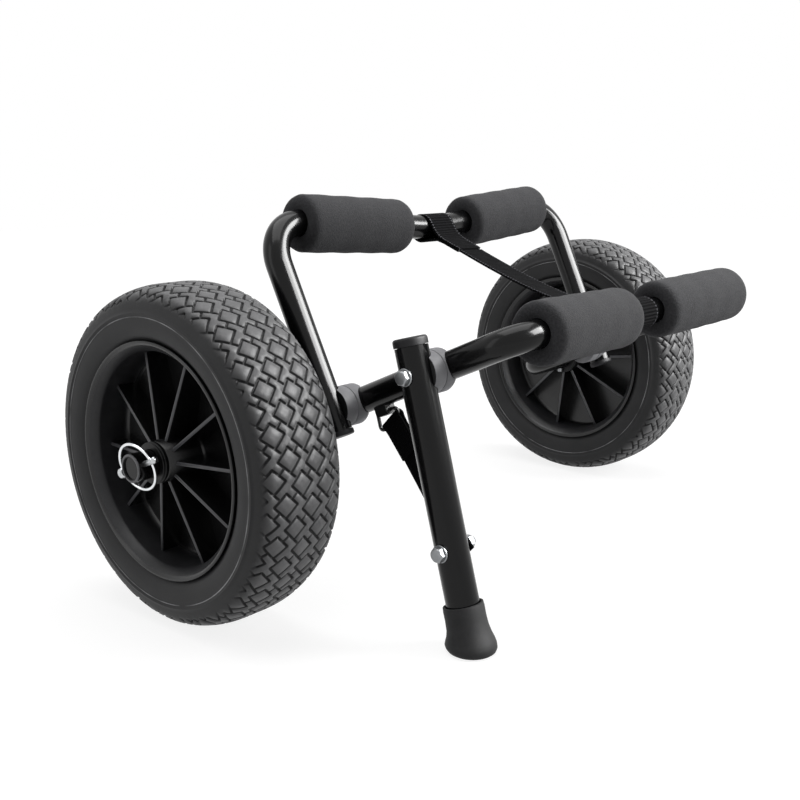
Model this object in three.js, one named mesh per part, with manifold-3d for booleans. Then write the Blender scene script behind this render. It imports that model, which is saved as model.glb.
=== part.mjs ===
// Folding kayak cart: two wheels on a bent-tube frame, a second bent tube that pivots on it,
// four foam pads for the hull, a kickstand on the left leg and webbing straps that hold it open.
// Millimetres. +X is to the right wheel, -Y to the front pads, +Z up.

import * as THREE from 'three';
import { mergeVertices } from 'three/addons/utils/BufferGeometryUtils.js';
import Module from 'manifold-3d';

const wasm = await Module();
wasm.setup();

// Fits shared by all the pieces.
const fit = 0.3;
const overrun = 2;
const weldReach = 0.0001;

// Wheels.
const wheelRadius = 127;
const trackHalfWidth = 270;
const tyreHalfWidth = 37.5;
const treadHalfWidth = 30.5;
const crownHalfWidth = 12;
const crownDrop = 1.2;
const shoulderDrop = 4.5;
const sidewallDrop = 20;
const tyreHeight = 38.4;
const rimLipHalfWidth = 35.8;
const rimLipWall = 2.6;
const rimLipRise = 5.1;
const rimSeatHalfWidth = 28;
const rimWall = 3.5;
const beadReach = 4;
const treadRepeats = 30;
const treadTurn = 9.2;
const grooveDepth = 2;
const grooveWidth = 3;
const treadRows = 2;
const webHalfWidth = 2;
const ribCount = 10;
const ribThickness = 3;
const ribRimOffset = 18;
const ribHubOffset = 28;
const leftRibTurn = -1.5;
const rightRibTurn = -5.3;

// Hubs and the axle's fittings.
const hubRadius = 15.5;
const hubHalfWidth = 33.5;
const bushWall = 1.8;
const bushFlange = 3;
const bushLengthShare = 0.75;
const wheelWasherWall = 1.5;
const lockPinGap = 10.8;
const lockPinInset = 5;
const lockPinRadius = 2.4;
const lockPinRise = 22.3;
const lockRingRadius = 19;
const lockRingWire = 1.1;
const lockRingTilt = 14;
const lockHeadRadius = 4.2;
const lockHeadLength = 5;
const lockTipReach = 5.5;
const stopPinRadius = 2.5;
const stopPinReach = 4;

// Frame tubes.
const tubeRadius = 10.4;
const tubeWall = 1.6;
const axleBendRadius = 30;
const legAxleGap = 8.7;
const legTopGap = 5.2;
const frontLegRise = 22.8;
const frontReach = 241;
const frontBarDip = 8.7;
const frontCornerRadius = 21;
const rearLegEndGap = 32.6;
const rearLegTopGap = 28.1;
const rearLegLean = 24.2;
const pivotReach = 71.5;
const rearReach = 151.8;
const rearTail = 18;
const rearBarDip = 14.4;
const rearCornerRadius = 32;
const barMiddleRadius = 130;
const plugFlange = 4.3;
const plugStem = 14;
const plugLipShare = 1.06;
const plugChamferShare = 0.25;
const axlePlugFlange = 1.4;

// Foam pads on the two cross bars.
const padRadius = 23;
const padRound = 5;
const rearPadInnerX = 45;
const rearPadEndGap = 2;
const frontPadInnerX = 26;

// Kickstand.
const kickGap = 1.5;
const kickRadius = 12.1;
const kickWall = 1.6;
const kickPivotReach = 166;
const kickLean = 14;
const kickHead = 20;
const kickCapHeight = 6.5;
const kickCapLipShare = 1.03;
const footWall = 2.4;
const footHeight = 34;
const footFlare = 6;
const footSole = 5;
const kickBoltHeight = 71;

// Saddles between crossing tubes, and the M6 fasteners.
const saddleRadius = 16;
const saddleGripShare = 0.86;
const boltRadius = 3;
const boltHeadAcross = 10;
const boltHeadHeight = 4;
const boltTail = 3;
const nutHeight = 5;
const washerRadius = 6.3;
const washerWall = 1.3;

// Webbing.
const frameStrapWidth = 35;
const frameStrapThickness = 1.8;
const frameLoopWall = 2.2;
const frameLoopTail = 34;
const kickStrapWidth = 24;
const kickStrapThickness = 1.6;
const kickStrapFlat = 15;
const kickStrapEnd = 7;
const kickLoopTail = 30;
const strapRingWire = 1.5;
const strapRingReach = 99.5;
const strapRingTopHalf = 9;
const strapBarReach = 104.3;
const strapBarDrop = 22.1;
const strapRingCorner = 3;
const strapClipLength = 12;
const strapClipWidth = 10;
const strapClipWall = 1.4;
const strapClipStud = 2.5;

// Facets round the shapes.
const rimSides = 40;
const hubSides = 20;
const tubeSides = 16;
const boreSides = 12;
const padSides = 20;
const screwSides = 12;
const hexSides = 6;
const wireSides = 6;
const loopSides = 12;
const bendStep = 15;
const fullTurn = 360;

const radians = THREE.MathUtils.degToRad;
const point = (x, y, z) => new THREE.Vector3(x, y, z);
const xAxis = point(1, 0, 0);
const yAxis = point(0, 1, 0);
const zAxis = point(0, 0, 1);
const sides = { left: -1, right: 1 };

function finish(color, roughness, metalness) {
  return new THREE.MeshStandardMaterial({ color, roughness, metalness });
}

const paint = finish(0x0c0c0d, 0.25, 0.6);
const foam = finish(0x4d4d4f, 0.95, 0);
const rubber = finish(0x3c3c3e, 0.9, 0);
const rimPlastic = finish(0x0e0e0f, 0.3, 0);
const darkPlastic = finish(0x48484a, 0.6, 0);
const blackPlastic = finish(0x161617, 0.5, 0);
const zinc = finish(0xc4c6c8, 0.3, 1);
const webbing = finish(0x1a1a1b, 0.9, 0);

// Turns a closed three.js geometry into a solid that can be joined or cut.
function solid(geometry) {
  const bare = geometry.clone();
  bare.deleteAttribute('normal');
  bare.deleteAttribute('uv');
  const merged = mergeVertices(bare, weldReach);
  const vertProperties = new Float32Array(merged.attributes.position.array);
  const triVerts = new Uint32Array(merged.index.array);
  return new wasm.Manifold(new wasm.Mesh({ numProp: 3, vertProperties, triVerts }));
}

function toGeometry(manifold) {
  const mesh = manifold.getMesh();
  const geometry = new THREE.BufferGeometry();
  geometry.setAttribute('position', new THREE.BufferAttribute(mesh.vertProperties, 3));
  geometry.setIndex(new THREE.BufferAttribute(mesh.triVerts, 1));
  geometry.computeVertexNormals();
  return geometry;
}

// Turns a shape built along +Y so that it points along a direction from an origin.
function place(geometry, origin, direction) {
  const turn = new THREE.Quaternion().setFromUnitVectors(yAxis, direction.clone().normalize());
  return geometry.applyQuaternion(turn).translate(origin.x, origin.y, origin.z);
}

// A turned piece: its outline is a list of [place along the axis, radius].
function turned(outline, facets) {
  const profile = outline.map(([along, radius]) => new THREE.Vector2(radius, along));
  return new THREE.LatheGeometry(profile, facets);
}

// A turned ring: its outline closes on itself.
function ring(outline, facets) {
  return turned([...outline, outline[0]], facets);
}

// A ring's outline from its outer half: the half is mirrored across the middle plane.
function bothSides(half) {
  const mirrored = half.map(([along, radius]) => [-along, radius]);
  return [...mirrored, ...half.reverse()];
}

// A round bar between two points.
function bar(from, to, radius, facets) {
  const geometry = new THREE.CylinderGeometry(radius, radius, from.distanceTo(to), facets);
  return place(geometry, from.clone().add(to).multiplyScalar(0.5), to.clone().sub(from));
}

// A path of straight runs and round bends, with rings only where the direction changes.
class BentPath extends THREE.Curve {
  constructor(corners, radii) {
    super();
    const last = corners.length - 1;
    this.stations = [{ at: corners[0], along: corners[1].clone().sub(corners[0]).normalize() }];
    for (let i = 1; i < last; i++) {
      this.addBend(corners[i - 1], corners[i], corners[i + 1], radii[i - 1]);
    }
    const along = corners[last].clone().sub(corners[last - 1]).normalize();
    this.stations.push({ at: corners[last], along });
  }

  addBend(before, corner, after, radius) {
    const incoming = corner.clone().sub(before).normalize();
    const outgoing = after.clone().sub(corner).normalize();
    const angle = incoming.angleTo(outgoing);
    const axis = incoming.clone().cross(outgoing).normalize();
    const start = corner.clone().addScaledVector(incoming, -radius * Math.tan(angle / 2));
    const centre = start.clone().addScaledVector(axis.clone().cross(incoming), radius);
    const steps = Math.max(2, Math.round(angle / radians(bendStep)));
    for (let i = 0; i <= steps; i++) {
      const turn = (angle * i) / steps;
      const at = start.clone().sub(centre).applyAxisAngle(axis, turn).add(centre);
      this.stations.push({ at, along: incoming.clone().applyAxisAngle(axis, turn) });
    }
  }

  get steps() {
    return this.stations.length - 1;
  }

  getPoint(share) {
    return this.stations[Math.round(share * this.steps)].at.clone();
  }

  getPointAt(share) {
    return this.getPoint(share);
  }

  getTangentAt(share) {
    return this.stations[Math.round(share * this.steps)].along.clone();
  }
}

function circle(radius, facets) {
  const points = [];
  for (let i = 0; i < facets; i++) {
    const angle = (2 * Math.PI * i) / facets;
    points.push(new THREE.Vector2(radius * Math.cos(angle), radius * Math.sin(angle)));
  }
  return points;
}

// A round section drawn along a path, hollow where a bore is given.
function drawn(path, radius, facets, bore = 0) {
  const section = new THREE.Shape(circle(radius, facets));
  if (bore > 0) section.holes.push(new THREE.Path(circle(bore, boreSides)));
  return new THREE.ExtrudeGeometry(section, { steps: path.steps, extrudePath: path });
}

// A flat outline of points in one plane, given width across that plane and centred on it.
function slab(outline, across, width) {
  const [origin, next] = outline;
  const along = next.clone().sub(origin).normalize();
  const up = across.clone().cross(along);
  const flat = outline.map((p) => {
    const out = p.clone().sub(origin);
    return new THREE.Vector2(out.dot(along), out.dot(up));
  });
  const geometry = new THREE.ExtrudeGeometry(new THREE.Shape(flat), { depth: width, bevelEnabled: false });
  const basis = new THREE.Matrix4().makeBasis(along, up, across).setPosition(origin);
  return geometry.translate(0, 0, -width / 2).applyMatrix4(basis);
}

// The wheel's inner radii follow its outer one.
const sidewallRadius = wheelRadius - sidewallDrop;
const rimLipRadius = wheelRadius - tyreHeight;
const rimSeatRadius = rimLipRadius - rimLipRise;

// The axle reaches past the wheels for their lock pins, and the legs stand inside the wheels.
const lockPinX = trackHalfWidth + hubHalfWidth + bushFlange + wheelWasherWall + 2 * fit + lockPinGap;
const axleEndHalf = lockPinX + lockPinInset;
const tyreInnerX = trackHalfWidth - tyreHalfWidth;
const rearLegEndX = tyreInnerX - rearLegEndGap - tubeRadius;
const rearLegTopX = tyreInnerX - rearLegTopGap - tubeRadius;
const frontLegAxleX = rearLegEndX - legAxleGap - 2 * tubeRadius;
const frontLegTopX = rearLegTopX - legTopGap - 2 * tubeRadius;
const kickX = frontLegTopX + tubeRadius + kickGap + kickRadius;
const rearPadOuterX = rearLegTopX - rearCornerRadius - rearPadEndGap;
const frontPadOuterX = frontLegTopX - frontCornerRadius;

// Side-view directions of the legs, and the points that the pieces share.
const axleCentre = point(0, 0, wheelRadius);
const frontLegSlope = radians(frontLegRise);
const rearLegSlope = radians(rearLegLean);
const kickSlope = radians(kickLean);
const frontLegUp = point(0, -Math.cos(frontLegSlope), Math.sin(frontLegSlope));
const rearLegUp = point(0, Math.sin(rearLegSlope), Math.cos(rearLegSlope));
const kickUp = point(0, Math.sin(kickSlope), Math.cos(kickSlope));
const pivotCentre = axleCentre.clone().addScaledVector(frontLegUp, pivotReach);
const kickPivot = axleCentre.clone().addScaledVector(frontLegUp, kickPivotReach);
const kickReach = kickPivot.z / Math.cos(kickSlope);
const kickFoot = kickPivot.clone().addScaledVector(kickUp, -kickReach);

function onFrontLeg(side, reach) {
  const x = frontLegAxleX + ((frontLegTopX - frontLegAxleX) * reach) / frontReach;
  return axleCentre.clone().addScaledVector(frontLegUp, reach).setX(side * x);
}

function onRearLeg(side, reach) {
  const share = (reach + rearTail) / (rearReach + rearTail);
  const x = rearLegEndX + (rearLegTopX - rearLegEndX) * share;
  return pivotCentre.clone().addScaledVector(rearLegUp, reach).setX(side * x);
}

function onKickstand(reach) {
  return kickPivot.clone().addScaledVector(kickUp, reach).setX(-kickX);
}

const frontBarMiddle = onFrontLeg(0, frontReach - frontBarDip);
const rearBarMiddle = onRearLeg(0, rearReach - rearBarDip);

const frontPath = new BentPath(
  [
    point(-axleEndHalf, 0, wheelRadius),
    onFrontLeg(-1, 0),
    onFrontLeg(-1, frontReach),
    frontBarMiddle,
    onFrontLeg(1, frontReach),
    onFrontLeg(1, 0),
    point(axleEndHalf, 0, wheelRadius),
  ],
  [axleBendRadius, frontCornerRadius, barMiddleRadius, frontCornerRadius, axleBendRadius],
);

const rearPath = new BentPath(
  [
    onRearLeg(-1, -rearTail),
    onRearLeg(-1, rearReach),
    rearBarMiddle,
    onRearLeg(1, rearReach),
    onRearLeg(1, -rearTail),
  ],
  [rearCornerRadius, barMiddleRadius, rearCornerRadius],
);

const kickTubeFoot = footSole / Math.cos(kickSlope) + kickRadius * Math.tan(kickSlope) - kickReach;
const kickPath = new BentPath([onKickstand(kickTubeFoot), onKickstand(kickHead)], []);
const bore = tubeRadius - tubeWall;
const kickBore = kickRadius - kickWall;
const stemRadius = bore * Math.cos(Math.PI / boreSides) - fit;
const kickStemRadius = kickBore * Math.cos(Math.PI / boreSides) - fit;
const boltHole = boltRadius + fit;

// Solids a little larger than the tubes, which cut the seats of the pieces on them.
const frontSeat = solid(drawn(frontPath, tubeRadius + fit, tubeSides));
const rearSeat = solid(drawn(rearPath, tubeRadius + fit, tubeSides));
const kickSeat = solid(drawn(kickPath, kickRadius + fit, tubeSides));

function crossHole(centre, radius) {
  const reach = xAxis.clone().multiplyScalar(2 * (tubeRadius + kickRadius));
  return solid(bar(centre.clone().sub(reach), centre.clone().add(reach), radius, screwSides));
}

const lockPinSlope = radians(lockPinRise);
const lockPinAxis = point(0, -Math.cos(lockPinSlope), Math.sin(lockPinSlope));
const stopPinX = trackHalfWidth - hubHalfWidth - bushFlange - wheelWasherWall - 2 * fit - stopPinRadius;

function axlePoint(side, x) {
  return point(side * x, 0, wheelRadius);
}

function alongPin(side, reach) {
  return axlePoint(side, lockPinX).addScaledVector(lockPinAxis, reach);
}

function frontFrameTube() {
  let tube = solid(drawn(frontPath, tubeRadius, tubeSides, bore));
  for (const side of Object.values(sides)) {
    const reach = tubeRadius + overrun;
    const lockHole = bar(alongPin(side, -reach), alongPin(side, reach), lockPinRadius + fit, screwSides);
    const stop = axlePoint(side, stopPinX);
    const stopLow = stop.clone().addScaledVector(zAxis, -reach);
    const stopHigh = stop.clone().addScaledVector(zAxis, reach);
    tube = tube.subtract(solid(lockHole));
    tube = tube.subtract(solid(bar(stopLow, stopHigh, stopPinRadius + fit, screwSides)));
    tube = tube.subtract(crossHole(onFrontLeg(side, pivotReach), boltHole));
  }
  tube = tube.subtract(crossHole(onFrontLeg(sides.left, kickPivotReach), boltHole));
  return toGeometry(tube.subtract(strapClipStudAt(boltRadius / 2 + fit, overrun)));
}

function rearFrameTube() {
  let tube = solid(drawn(rearPath, tubeRadius, tubeSides, bore));
  for (const side of Object.values(sides)) {
    tube = tube.subtract(crossHole(onRearLeg(side, 0), boltHole));
  }
  return toGeometry(tube);
}

// A plug that closes a tube's end: a stem in the bore and a flange over the wall.
function tubePlug(end, outward, flangeRadius, flange, stem, stemLength) {
  const chamfer = flange * plugChamferShare;
  const outline = [
    [-stemLength, 0],
    [-stemLength, stem],
    [fit, stem],
    [fit, flangeRadius],
    [flange - chamfer, flangeRadius],
    [flange, flangeRadius - chamfer],
    [flange, 0],
  ];
  return place(turned(outline, tubeSides), end, outward);
}

function rearLegPlug(side) {
  const lip = tubeRadius * plugLipShare;
  const outward = rearLegUp.clone().negate();
  return tubePlug(onRearLeg(side, -rearTail), outward, lip, plugFlange, stemRadius, plugStem);
}

// The axle's plug is short, because the lock pin crosses the bore behind it.
function axlePlug(side) {
  const outward = xAxis.clone().multiplyScalar(side);
  const stemLength = lockPinInset - lockPinRadius - 2 * fit;
  const end = axlePoint(side, axleEndHalf);
  return tubePlug(end, outward, tubeRadius, axlePlugFlange, stemRadius, stemLength);
}

// A foam sleeve on one straight half of a cross bar, between two places given by their X.
function foamPad(outerX, innerX, middle, corner) {
  const along = corner.clone().sub(middle).normalize();
  const unit = 1 / Math.abs(along.x);
  const start = innerX * unit;
  const end = outerX * unit;
  const outline = [
    [start, tubeRadius + fit],
    [start, padRadius - padRound],
    [start + padRound * (1 - Math.SQRT1_2), padRadius - padRound * (1 - Math.SQRT1_2)],
    [start + padRound, padRadius],
    [end - padRound, padRadius],
    [end - padRound * (1 - Math.SQRT1_2), padRadius - padRound * (1 - Math.SQRT1_2)],
    [end, padRadius - padRound],
    [end, tubeRadius + fit],
  ];
  return place(ring(outline, padSides), middle, along);
}

// The length of an outline's side that ends at point k.
function sideLength(outline, k) {
  return Math.hypot(outline[k][0] - outline[k - 1][0], outline[k][1] - outline[k - 1][1]);
}

// The tyre is built face by face: its tread is a lattice of diamond blocks between V grooves at
// about 45 degrees, in rows from one shoulder to the other, and its sides are plain rings.
class TyreMesh {
  constructor(crown) {
    this.crown = crown;
    this.positions = [];
    this.index = [];
  }

  vertex(x, radius, run) {
    const angle = radians(treadTurn) + run / wheelRadius;
    this.positions.push(radius * Math.sin(angle), x, radius * Math.cos(angle));
    return this.positions.length / 3 - 1;
  }

  // A point of the tread, given by its distance from the tyre's middle along the outline.
  onTread(reach, run, depth) {
    let left = Math.abs(reach);
    let i = 1;
    while (i < this.crown.length - 1 && left > sideLength(this.crown, i)) {
      left -= sideLength(this.crown, i);
      i += 1;
    }
    const share = left / sideLength(this.crown, i);
    const [startX, startRadius] = this.crown[i - 1];
    const [endX, endRadius] = this.crown[i];
    const x = startX + (endX - startX) * share;
    const radius = startRadius + (endRadius - startRadius) * share;
    return this.vertex(Math.sign(reach) * x, radius - depth, run);
  }

  // A flat polygon of three or four corners, turned round on the tyre's second side.
  face(corners, flipped = false) {
    const loop = flipped ? [...corners].reverse() : corners;
    for (let i = 2; i < loop.length; i++) {
      this.index.push(loop[0], loop[i - 1], loop[i]);
    }
  }

  geometry() {
    const geometry = new THREE.BufferGeometry();
    geometry.setAttribute('position', new THREE.BufferAttribute(new Float32Array(this.positions), 3));
    return geometry.setIndex(this.index);
  }
}

function tyre(side) {
  const seat = rimSeatRadius + fit;
  const lip = rimLipRadius + fit;
  const lipInner = rimLipHalfWidth - rimLipWall - fit;
  const crown = [
    [0, wheelRadius],
    [crownHalfWidth, wheelRadius],
    [(treadHalfWidth + crownHalfWidth) / 2, wheelRadius - crownDrop],
    [treadHalfWidth, wheelRadius - shoulderDrop],
  ];
  const sidewall = [
    [(tyreHalfWidth + treadHalfWidth) / 2, (sidewallRadius + wheelRadius) / 2],
    [tyreHalfWidth, sidewallRadius],
    [rimLipHalfWidth, lip + beadReach],
    [lipInner, lip],
    [rimSeatHalfWidth - fit, seat],
  ];
  const mesh = new TyreMesh(crown);
  const reach = crown.slice(1).reduce((sum, _, i) => sum + sideLength(crown, i + 1), 0);
  const row = reach / treadRows;
  const block = (2 * Math.PI * wheelRadius) / treadRepeats;
  const inset = (grooveWidth / 2) * Math.SQRT2;
  const start = (k, n) => (n + (Math.abs(k) % 2) / 2) * block;
  const next = (n) => (n + 1) % treadRepeats;
  const nodes = {};
  for (let k = -treadRows; k <= treadRows; k++) {
    nodes[k] = [];
    for (let n = 0; n < treadRepeats; n++) {
      nodes[k].push(mesh.onTread(k * row, start(k, n), grooveDepth));
    }
  }

  for (let k = 1 - treadRows; k < treadRows; k++) {
    for (let n = 0; n < treadRepeats; n++) {
      const from = start(k, n);
      const middle = from + block / 2;
      const beside = k % 2 ? next(n) : n;
      const floor = [nodes[k][next(n)], nodes[k + 1][beside], nodes[k][n], nodes[k - 1][beside]];
      const top = [
        mesh.onTread(k * row, from + block - inset, 0),
        mesh.onTread((k + 1) * row - inset, middle, 0),
        mesh.onTread(k * row, from + inset, 0),
        mesh.onTread((k - 1) * row + inset, middle, 0),
      ];
      const centre = mesh.onTread(k * row, middle, 0);
      for (let i = 0; i < top.length; i++) {
        const j = (i + 1) % top.length;
        mesh.face([centre, top[i], top[j]]);
        mesh.face([top[i], floor[i], floor[j], top[j]]);
      }
    }
  }

  const seats = [1, -1].map((sign) => {
    const flip = sign < 0;
    const k = sign * treadRows;
    const rings = sidewall.map(([x, radius]) => {
      const around = [];
      for (let n = 0; n < 2 * treadRepeats; n++) {
        around.push(mesh.vertex(sign * x, radius, start(k, 0) + (n * block) / 2));
      }
      return around;
    });
    for (let n = 0; n < treadRepeats; n++) {
      const from = start(k, n);
      const inner = k % 2 ? next(n) : n;
      const left = mesh.onTread(sign * reach, from + inset, 0);
      const right = mesh.onTread(sign * reach, from + block - inset, 0);
      const apex = mesh.onTread(sign * (reach - row + inset), from + block / 2, 0);
      const leftFloor = nodes[k][n];
      const rightFloor = nodes[k][next(n)];
      const apexFloor = nodes[k - sign][inner];
      const leftSide = rings[0][2 * n];
      const middleSide = rings[0][2 * n + 1];
      const rightSide = rings[0][2 * next(n)];
      mesh.face([right, left, apex], flip);
      mesh.face([left, leftFloor, apexFloor, apex], flip);
      mesh.face([apex, apexFloor, rightFloor, right], flip);
      mesh.face([leftFloor, left, leftSide], flip);
      mesh.face([left, middleSide, leftSide], flip);
      mesh.face([left, right, middleSide], flip);
      mesh.face([right, rightSide, middleSide], flip);
      mesh.face([right, rightFloor, rightSide], flip);
    }
    for (let i = 1; i < rings.length; i++) {
      joinRings(mesh, rings[i - 1], rings[i], flip);
    }
    return rings[rings.length - 1];
  });
  joinRings(mesh, seats[0], seats[1], false);
  return place(toGeometry(solid(mesh.geometry())), axlePoint(side, trackHalfWidth), xAxis);
}

function joinRings(mesh, first, second, flip) {
  first.forEach((corner, n) => {
    const beside = (n + 1) % first.length;
    mesh.face([corner, first[beside], second[beside], second[n]], flip);
  });
}

function rim(side, turn) {
  const barrel = rimSeatRadius - rimWall;
  const hubBore = tubeRadius + fit + bushWall + fit;
  const half = [
    [hubHalfWidth, hubBore],
    [hubHalfWidth, hubRadius],
    [webHalfWidth, hubRadius],
    [webHalfWidth, barrel],
    [rimSeatHalfWidth, barrel],
    [rimLipHalfWidth, rimLipRadius - rimLipWall],
    [rimLipHalfWidth, rimLipRadius],
    [rimLipHalfWidth - rimLipWall, rimLipRadius],
    [rimSeatHalfWidth, rimSeatRadius],
  ];
  let body = solid(ring(bothSides(half), rimSides));
  for (let i = 0; i < ribCount; i++) {
    body = body.add(solid(rib(turn + (fullTurn * i) / ribCount, barrel)));
  }
  return place(toGeometry(body), axlePoint(side, trackHalfWidth), xAxis);
}

// One rib on each side of the web: a plate between the hub and the barrel.
function rib(turn, barrel) {
  const inner = hubRadius - bushWall / 2;
  const outer = barrel + rimWall / 2;
  const shape = new THREE.Shape([
    new THREE.Vector2(inner, -ribHubOffset),
    new THREE.Vector2(outer, -ribRimOffset),
    new THREE.Vector2(outer, ribRimOffset),
    new THREE.Vector2(inner, ribHubOffset),
  ]);
  const plate = new THREE.ExtrudeGeometry(shape, { depth: ribThickness, bevelEnabled: false });
  return plate.translate(0, 0, -ribThickness / 2).rotateY(radians(turn));
}

// A flanged bush pressed in the hub's end, in which the wheel turns on the axle.
function hubBush(side, face) {
  const inner = tubeRadius + fit;
  const outer = inner + bushWall;
  const outline = [
    [-hubHalfWidth * bushLengthShare, inner],
    [bushFlange, inner],
    [bushFlange, hubRadius],
    [fit, hubRadius],
    [fit, outer],
    [-hubHalfWidth * bushLengthShare, outer],
  ];
  const seat = axlePoint(side, trackHalfWidth + face * hubHalfWidth);
  return place(ring(outline.reverse(), hubSides), seat, xAxis.clone().multiplyScalar(side * face));
}

function flatWasher(inner, outer, wall, centre, facets) {
  const outline = [
    [-wall / 2, inner],
    [-wall / 2, outer],
    [wall / 2, outer],
    [wall / 2, inner],
  ];
  return place(ring(outline, facets), centre, xAxis);
}

function wheelWasher(side, face) {
  const reach = hubHalfWidth + bushFlange + fit + wheelWasherWall / 2;
  const centre = axlePoint(side, trackHalfWidth + face * reach);
  return flatWasher(tubeRadius + fit, hubRadius, wheelWasherWall, centre, hubSides);
}

function stopPin(side) {
  const reach = zAxis.clone().multiplyScalar(tubeRadius + stopPinReach);
  const centre = axlePoint(side, stopPinX);
  return bar(centre.clone().sub(reach), centre.clone().add(reach), stopPinRadius, screwSides);
}

// The removable pin: a headed rod through the axle's end with a small collar at its tip.
function lockPin(side) {
  const tip = lockRingRadius + lockTipReach;
  const headInner = lockRingRadius - lockHeadLength / 2;
  const headOuter = lockRingRadius + lockHeadLength / 2;
  const collar = tip - lockPinRadius;
  const outline = [
    [-headOuter, 0],
    [-headOuter, lockHeadRadius],
    [-headInner, lockHeadRadius],
    [-headInner, lockPinRadius],
    [collar, lockPinRadius],
    [tip, lockPinRadius / 2],
    [tip, 0],
  ];
  const pin = solid(place(turned(outline, screwSides), axlePoint(side, lockPinX), lockPinAxis));
  const clear = lockRingWire + fit;
  return toGeometry(pin.subtract(solid(lockRingAt(side, clear))));
}

function lockRingAt(side, wire) {
  const wireRing = new THREE.TorusGeometry(lockRingRadius, wire, wireSides, hubSides);
  const tilt = new THREE.Matrix4().makeRotationAxis(lockPinAxis, radians(-side * lockRingTilt));
  const upright = new THREE.Matrix4().makeBasis(lockPinAxis, xAxis.clone().cross(lockPinAxis), xAxis);
  const centre = axlePoint(side, lockPinX);
  return wireRing.applyMatrix4(upright).applyMatrix4(tilt).translate(centre.x, centre.y, centre.z);
}

// Half of a saddle: a short boss between two crossing tubes, hollowed to sit on one of them.
// The halves meet in the middle of the gap between the tubes, square to the bolt.
function saddleHalf(mount, onOuterTube) {
  const { outer, outerRadius, inner } = mount;
  const side = Math.sign(outer.x);
  const outerGrip = Math.abs(outer.x) - outerRadius * (1 - saddleGripShare);
  const innerGrip = Math.abs(inner.x) + tubeRadius * (1 - saddleGripShare);
  const middle = (Math.abs(outer.x) - outerRadius + Math.abs(inner.x) + tubeRadius) / 2;
  const spot = (x) => point(side * x, outer.y, outer.z);
  const from = onOuterTube ? middle + fit / 2 : innerGrip;
  const to = onOuterTube ? outerGrip : middle - fit / 2;
  const boss = solid(bar(spot(from), spot(to), saddleRadius, hubSides));
  const seat = onOuterTube ? mount.outerSeat : frontSeat;
  return toGeometry(boss.subtract(seat).subtract(crossHole(outer, boltHole)));
}

// A hexagon bolt, two washers and a nut through everything between two faces along X.
function boltSet(side, outerFace, innerFace, at) {
  const spot = (x) => point(side * x, at.y, at.z);
  const outerWasher = outerFace + fit + washerWall / 2;
  const headStart = outerFace + washerWall + 2 * fit;
  const innerWasher = innerFace - fit - washerWall / 2;
  const nutStart = innerFace - washerWall - 2 * fit;
  const hexRadius = boltHeadAcross / 2 / Math.cos(Math.PI / hexSides);
  const head = bar(spot(headStart), spot(headStart + boltHeadHeight), hexRadius, hexSides);
  const shankEnd = nutStart - nutHeight - boltTail;
  const shank = bar(spot(shankEnd), spot(headStart + boltHeadHeight / 2), boltRadius, screwSides);
  const nut = bar(spot(nutStart), spot(nutStart - nutHeight), hexRadius, hexSides);
  const nutBore = bar(spot(nutStart + overrun), spot(nutStart - nutHeight - overrun), boltHole, screwSides);
  return {
    bolt: toGeometry(solid(head).add(solid(shank))),
    outer_washer: flatWasher(boltHole, washerRadius, washerWall, spot(outerWasher), screwSides),
    inner_washer: flatWasher(boltHole, washerRadius, washerWall, spot(innerWasher), screwSides),
    nut: toGeometry(solid(nut).subtract(solid(nutBore))),
  };
}

const kickBoltReach = (kickBoltHeight - kickPivot.z) / Math.cos(kickSlope);

function kickTube() {
  const tube = solid(drawn(kickPath, kickRadius, tubeSides, kickBore));
  const holed = tube.subtract(crossHole(onKickstand(0), boltHole));
  return toGeometry(holed.subtract(crossHole(onKickstand(kickBoltReach), boltHole)));
}

function kickCap() {
  const lip = kickRadius * kickCapLipShare;
  return tubePlug(onKickstand(kickHead), kickUp, lip, kickCapHeight, kickStemRadius, plugStem);
}

// The rubber foot: a flared boot round the tube's end, cut flat at the ground.
function kickFootBoot() {
  const sole = kickReach + overrun;
  const boot = kickRadius + fit + footWall;
  const outline = [
    [-sole - boot * Math.tan(kickSlope), 0],
    [-sole - boot * Math.tan(kickSlope), boot + footFlare / 2],
    [-kickReach + footSole, boot + footFlare / 2],
    [-kickReach + footSole * 2, boot + footFlare / 3],
    [-kickReach + footHeight / 2, boot],
    [-kickReach + footHeight, boot],
    [-kickReach + footHeight, 0],
  ];
  const outer = solid(place(turned(outline, hubSides), onKickstand(0), kickUp));
  const size = footHeight * 4;
  const ground = new THREE.BoxGeometry(size, size, size);
  ground.translate(-kickX, kickFoot.y, -size / 2);
  return toGeometry(outer.subtract(kickSeat).subtract(solid(ground)));
}

// A sewn loop of webbing round a rod, closing to a tail of two layers towards a point.
function webbingLoop(loop) {
  const { middle, towards, across, rod, wall, tail, thickness, width } = loop;
  const along = towards.clone().sub(middle).normalize();
  const up = across.clone().cross(along);
  const outer = rod + fit + wall;
  const start = Math.acos(outer / (outer + tail));
  const outline = [];
  for (let i = 0; i <= loopSides; i++) {
    const angle = start + ((2 * Math.PI - 2 * start) * i) / loopSides;
    const out = along.clone().multiplyScalar(outer * Math.cos(angle));
    outline.push(middle.clone().add(out).addScaledVector(up, outer * Math.sin(angle)));
  }
  const end = middle.clone().addScaledVector(along, outer + tail);
  outline.push(end.clone().addScaledVector(up, -thickness));
  outline.push(end.clone().addScaledVector(up, thickness));
  return solid(slab(outline, across, width));
}

function frameStrapLoop(middle, towards, seat) {
  const loop = webbingLoop({
    middle,
    towards,
    across: xAxis,
    rod: tubeRadius,
    wall: frameLoopWall,
    tail: frameLoopTail,
    thickness: frameStrapThickness,
    width: frameStrapWidth,
  });
  return toGeometry(loop.subtract(seat));
}

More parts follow.
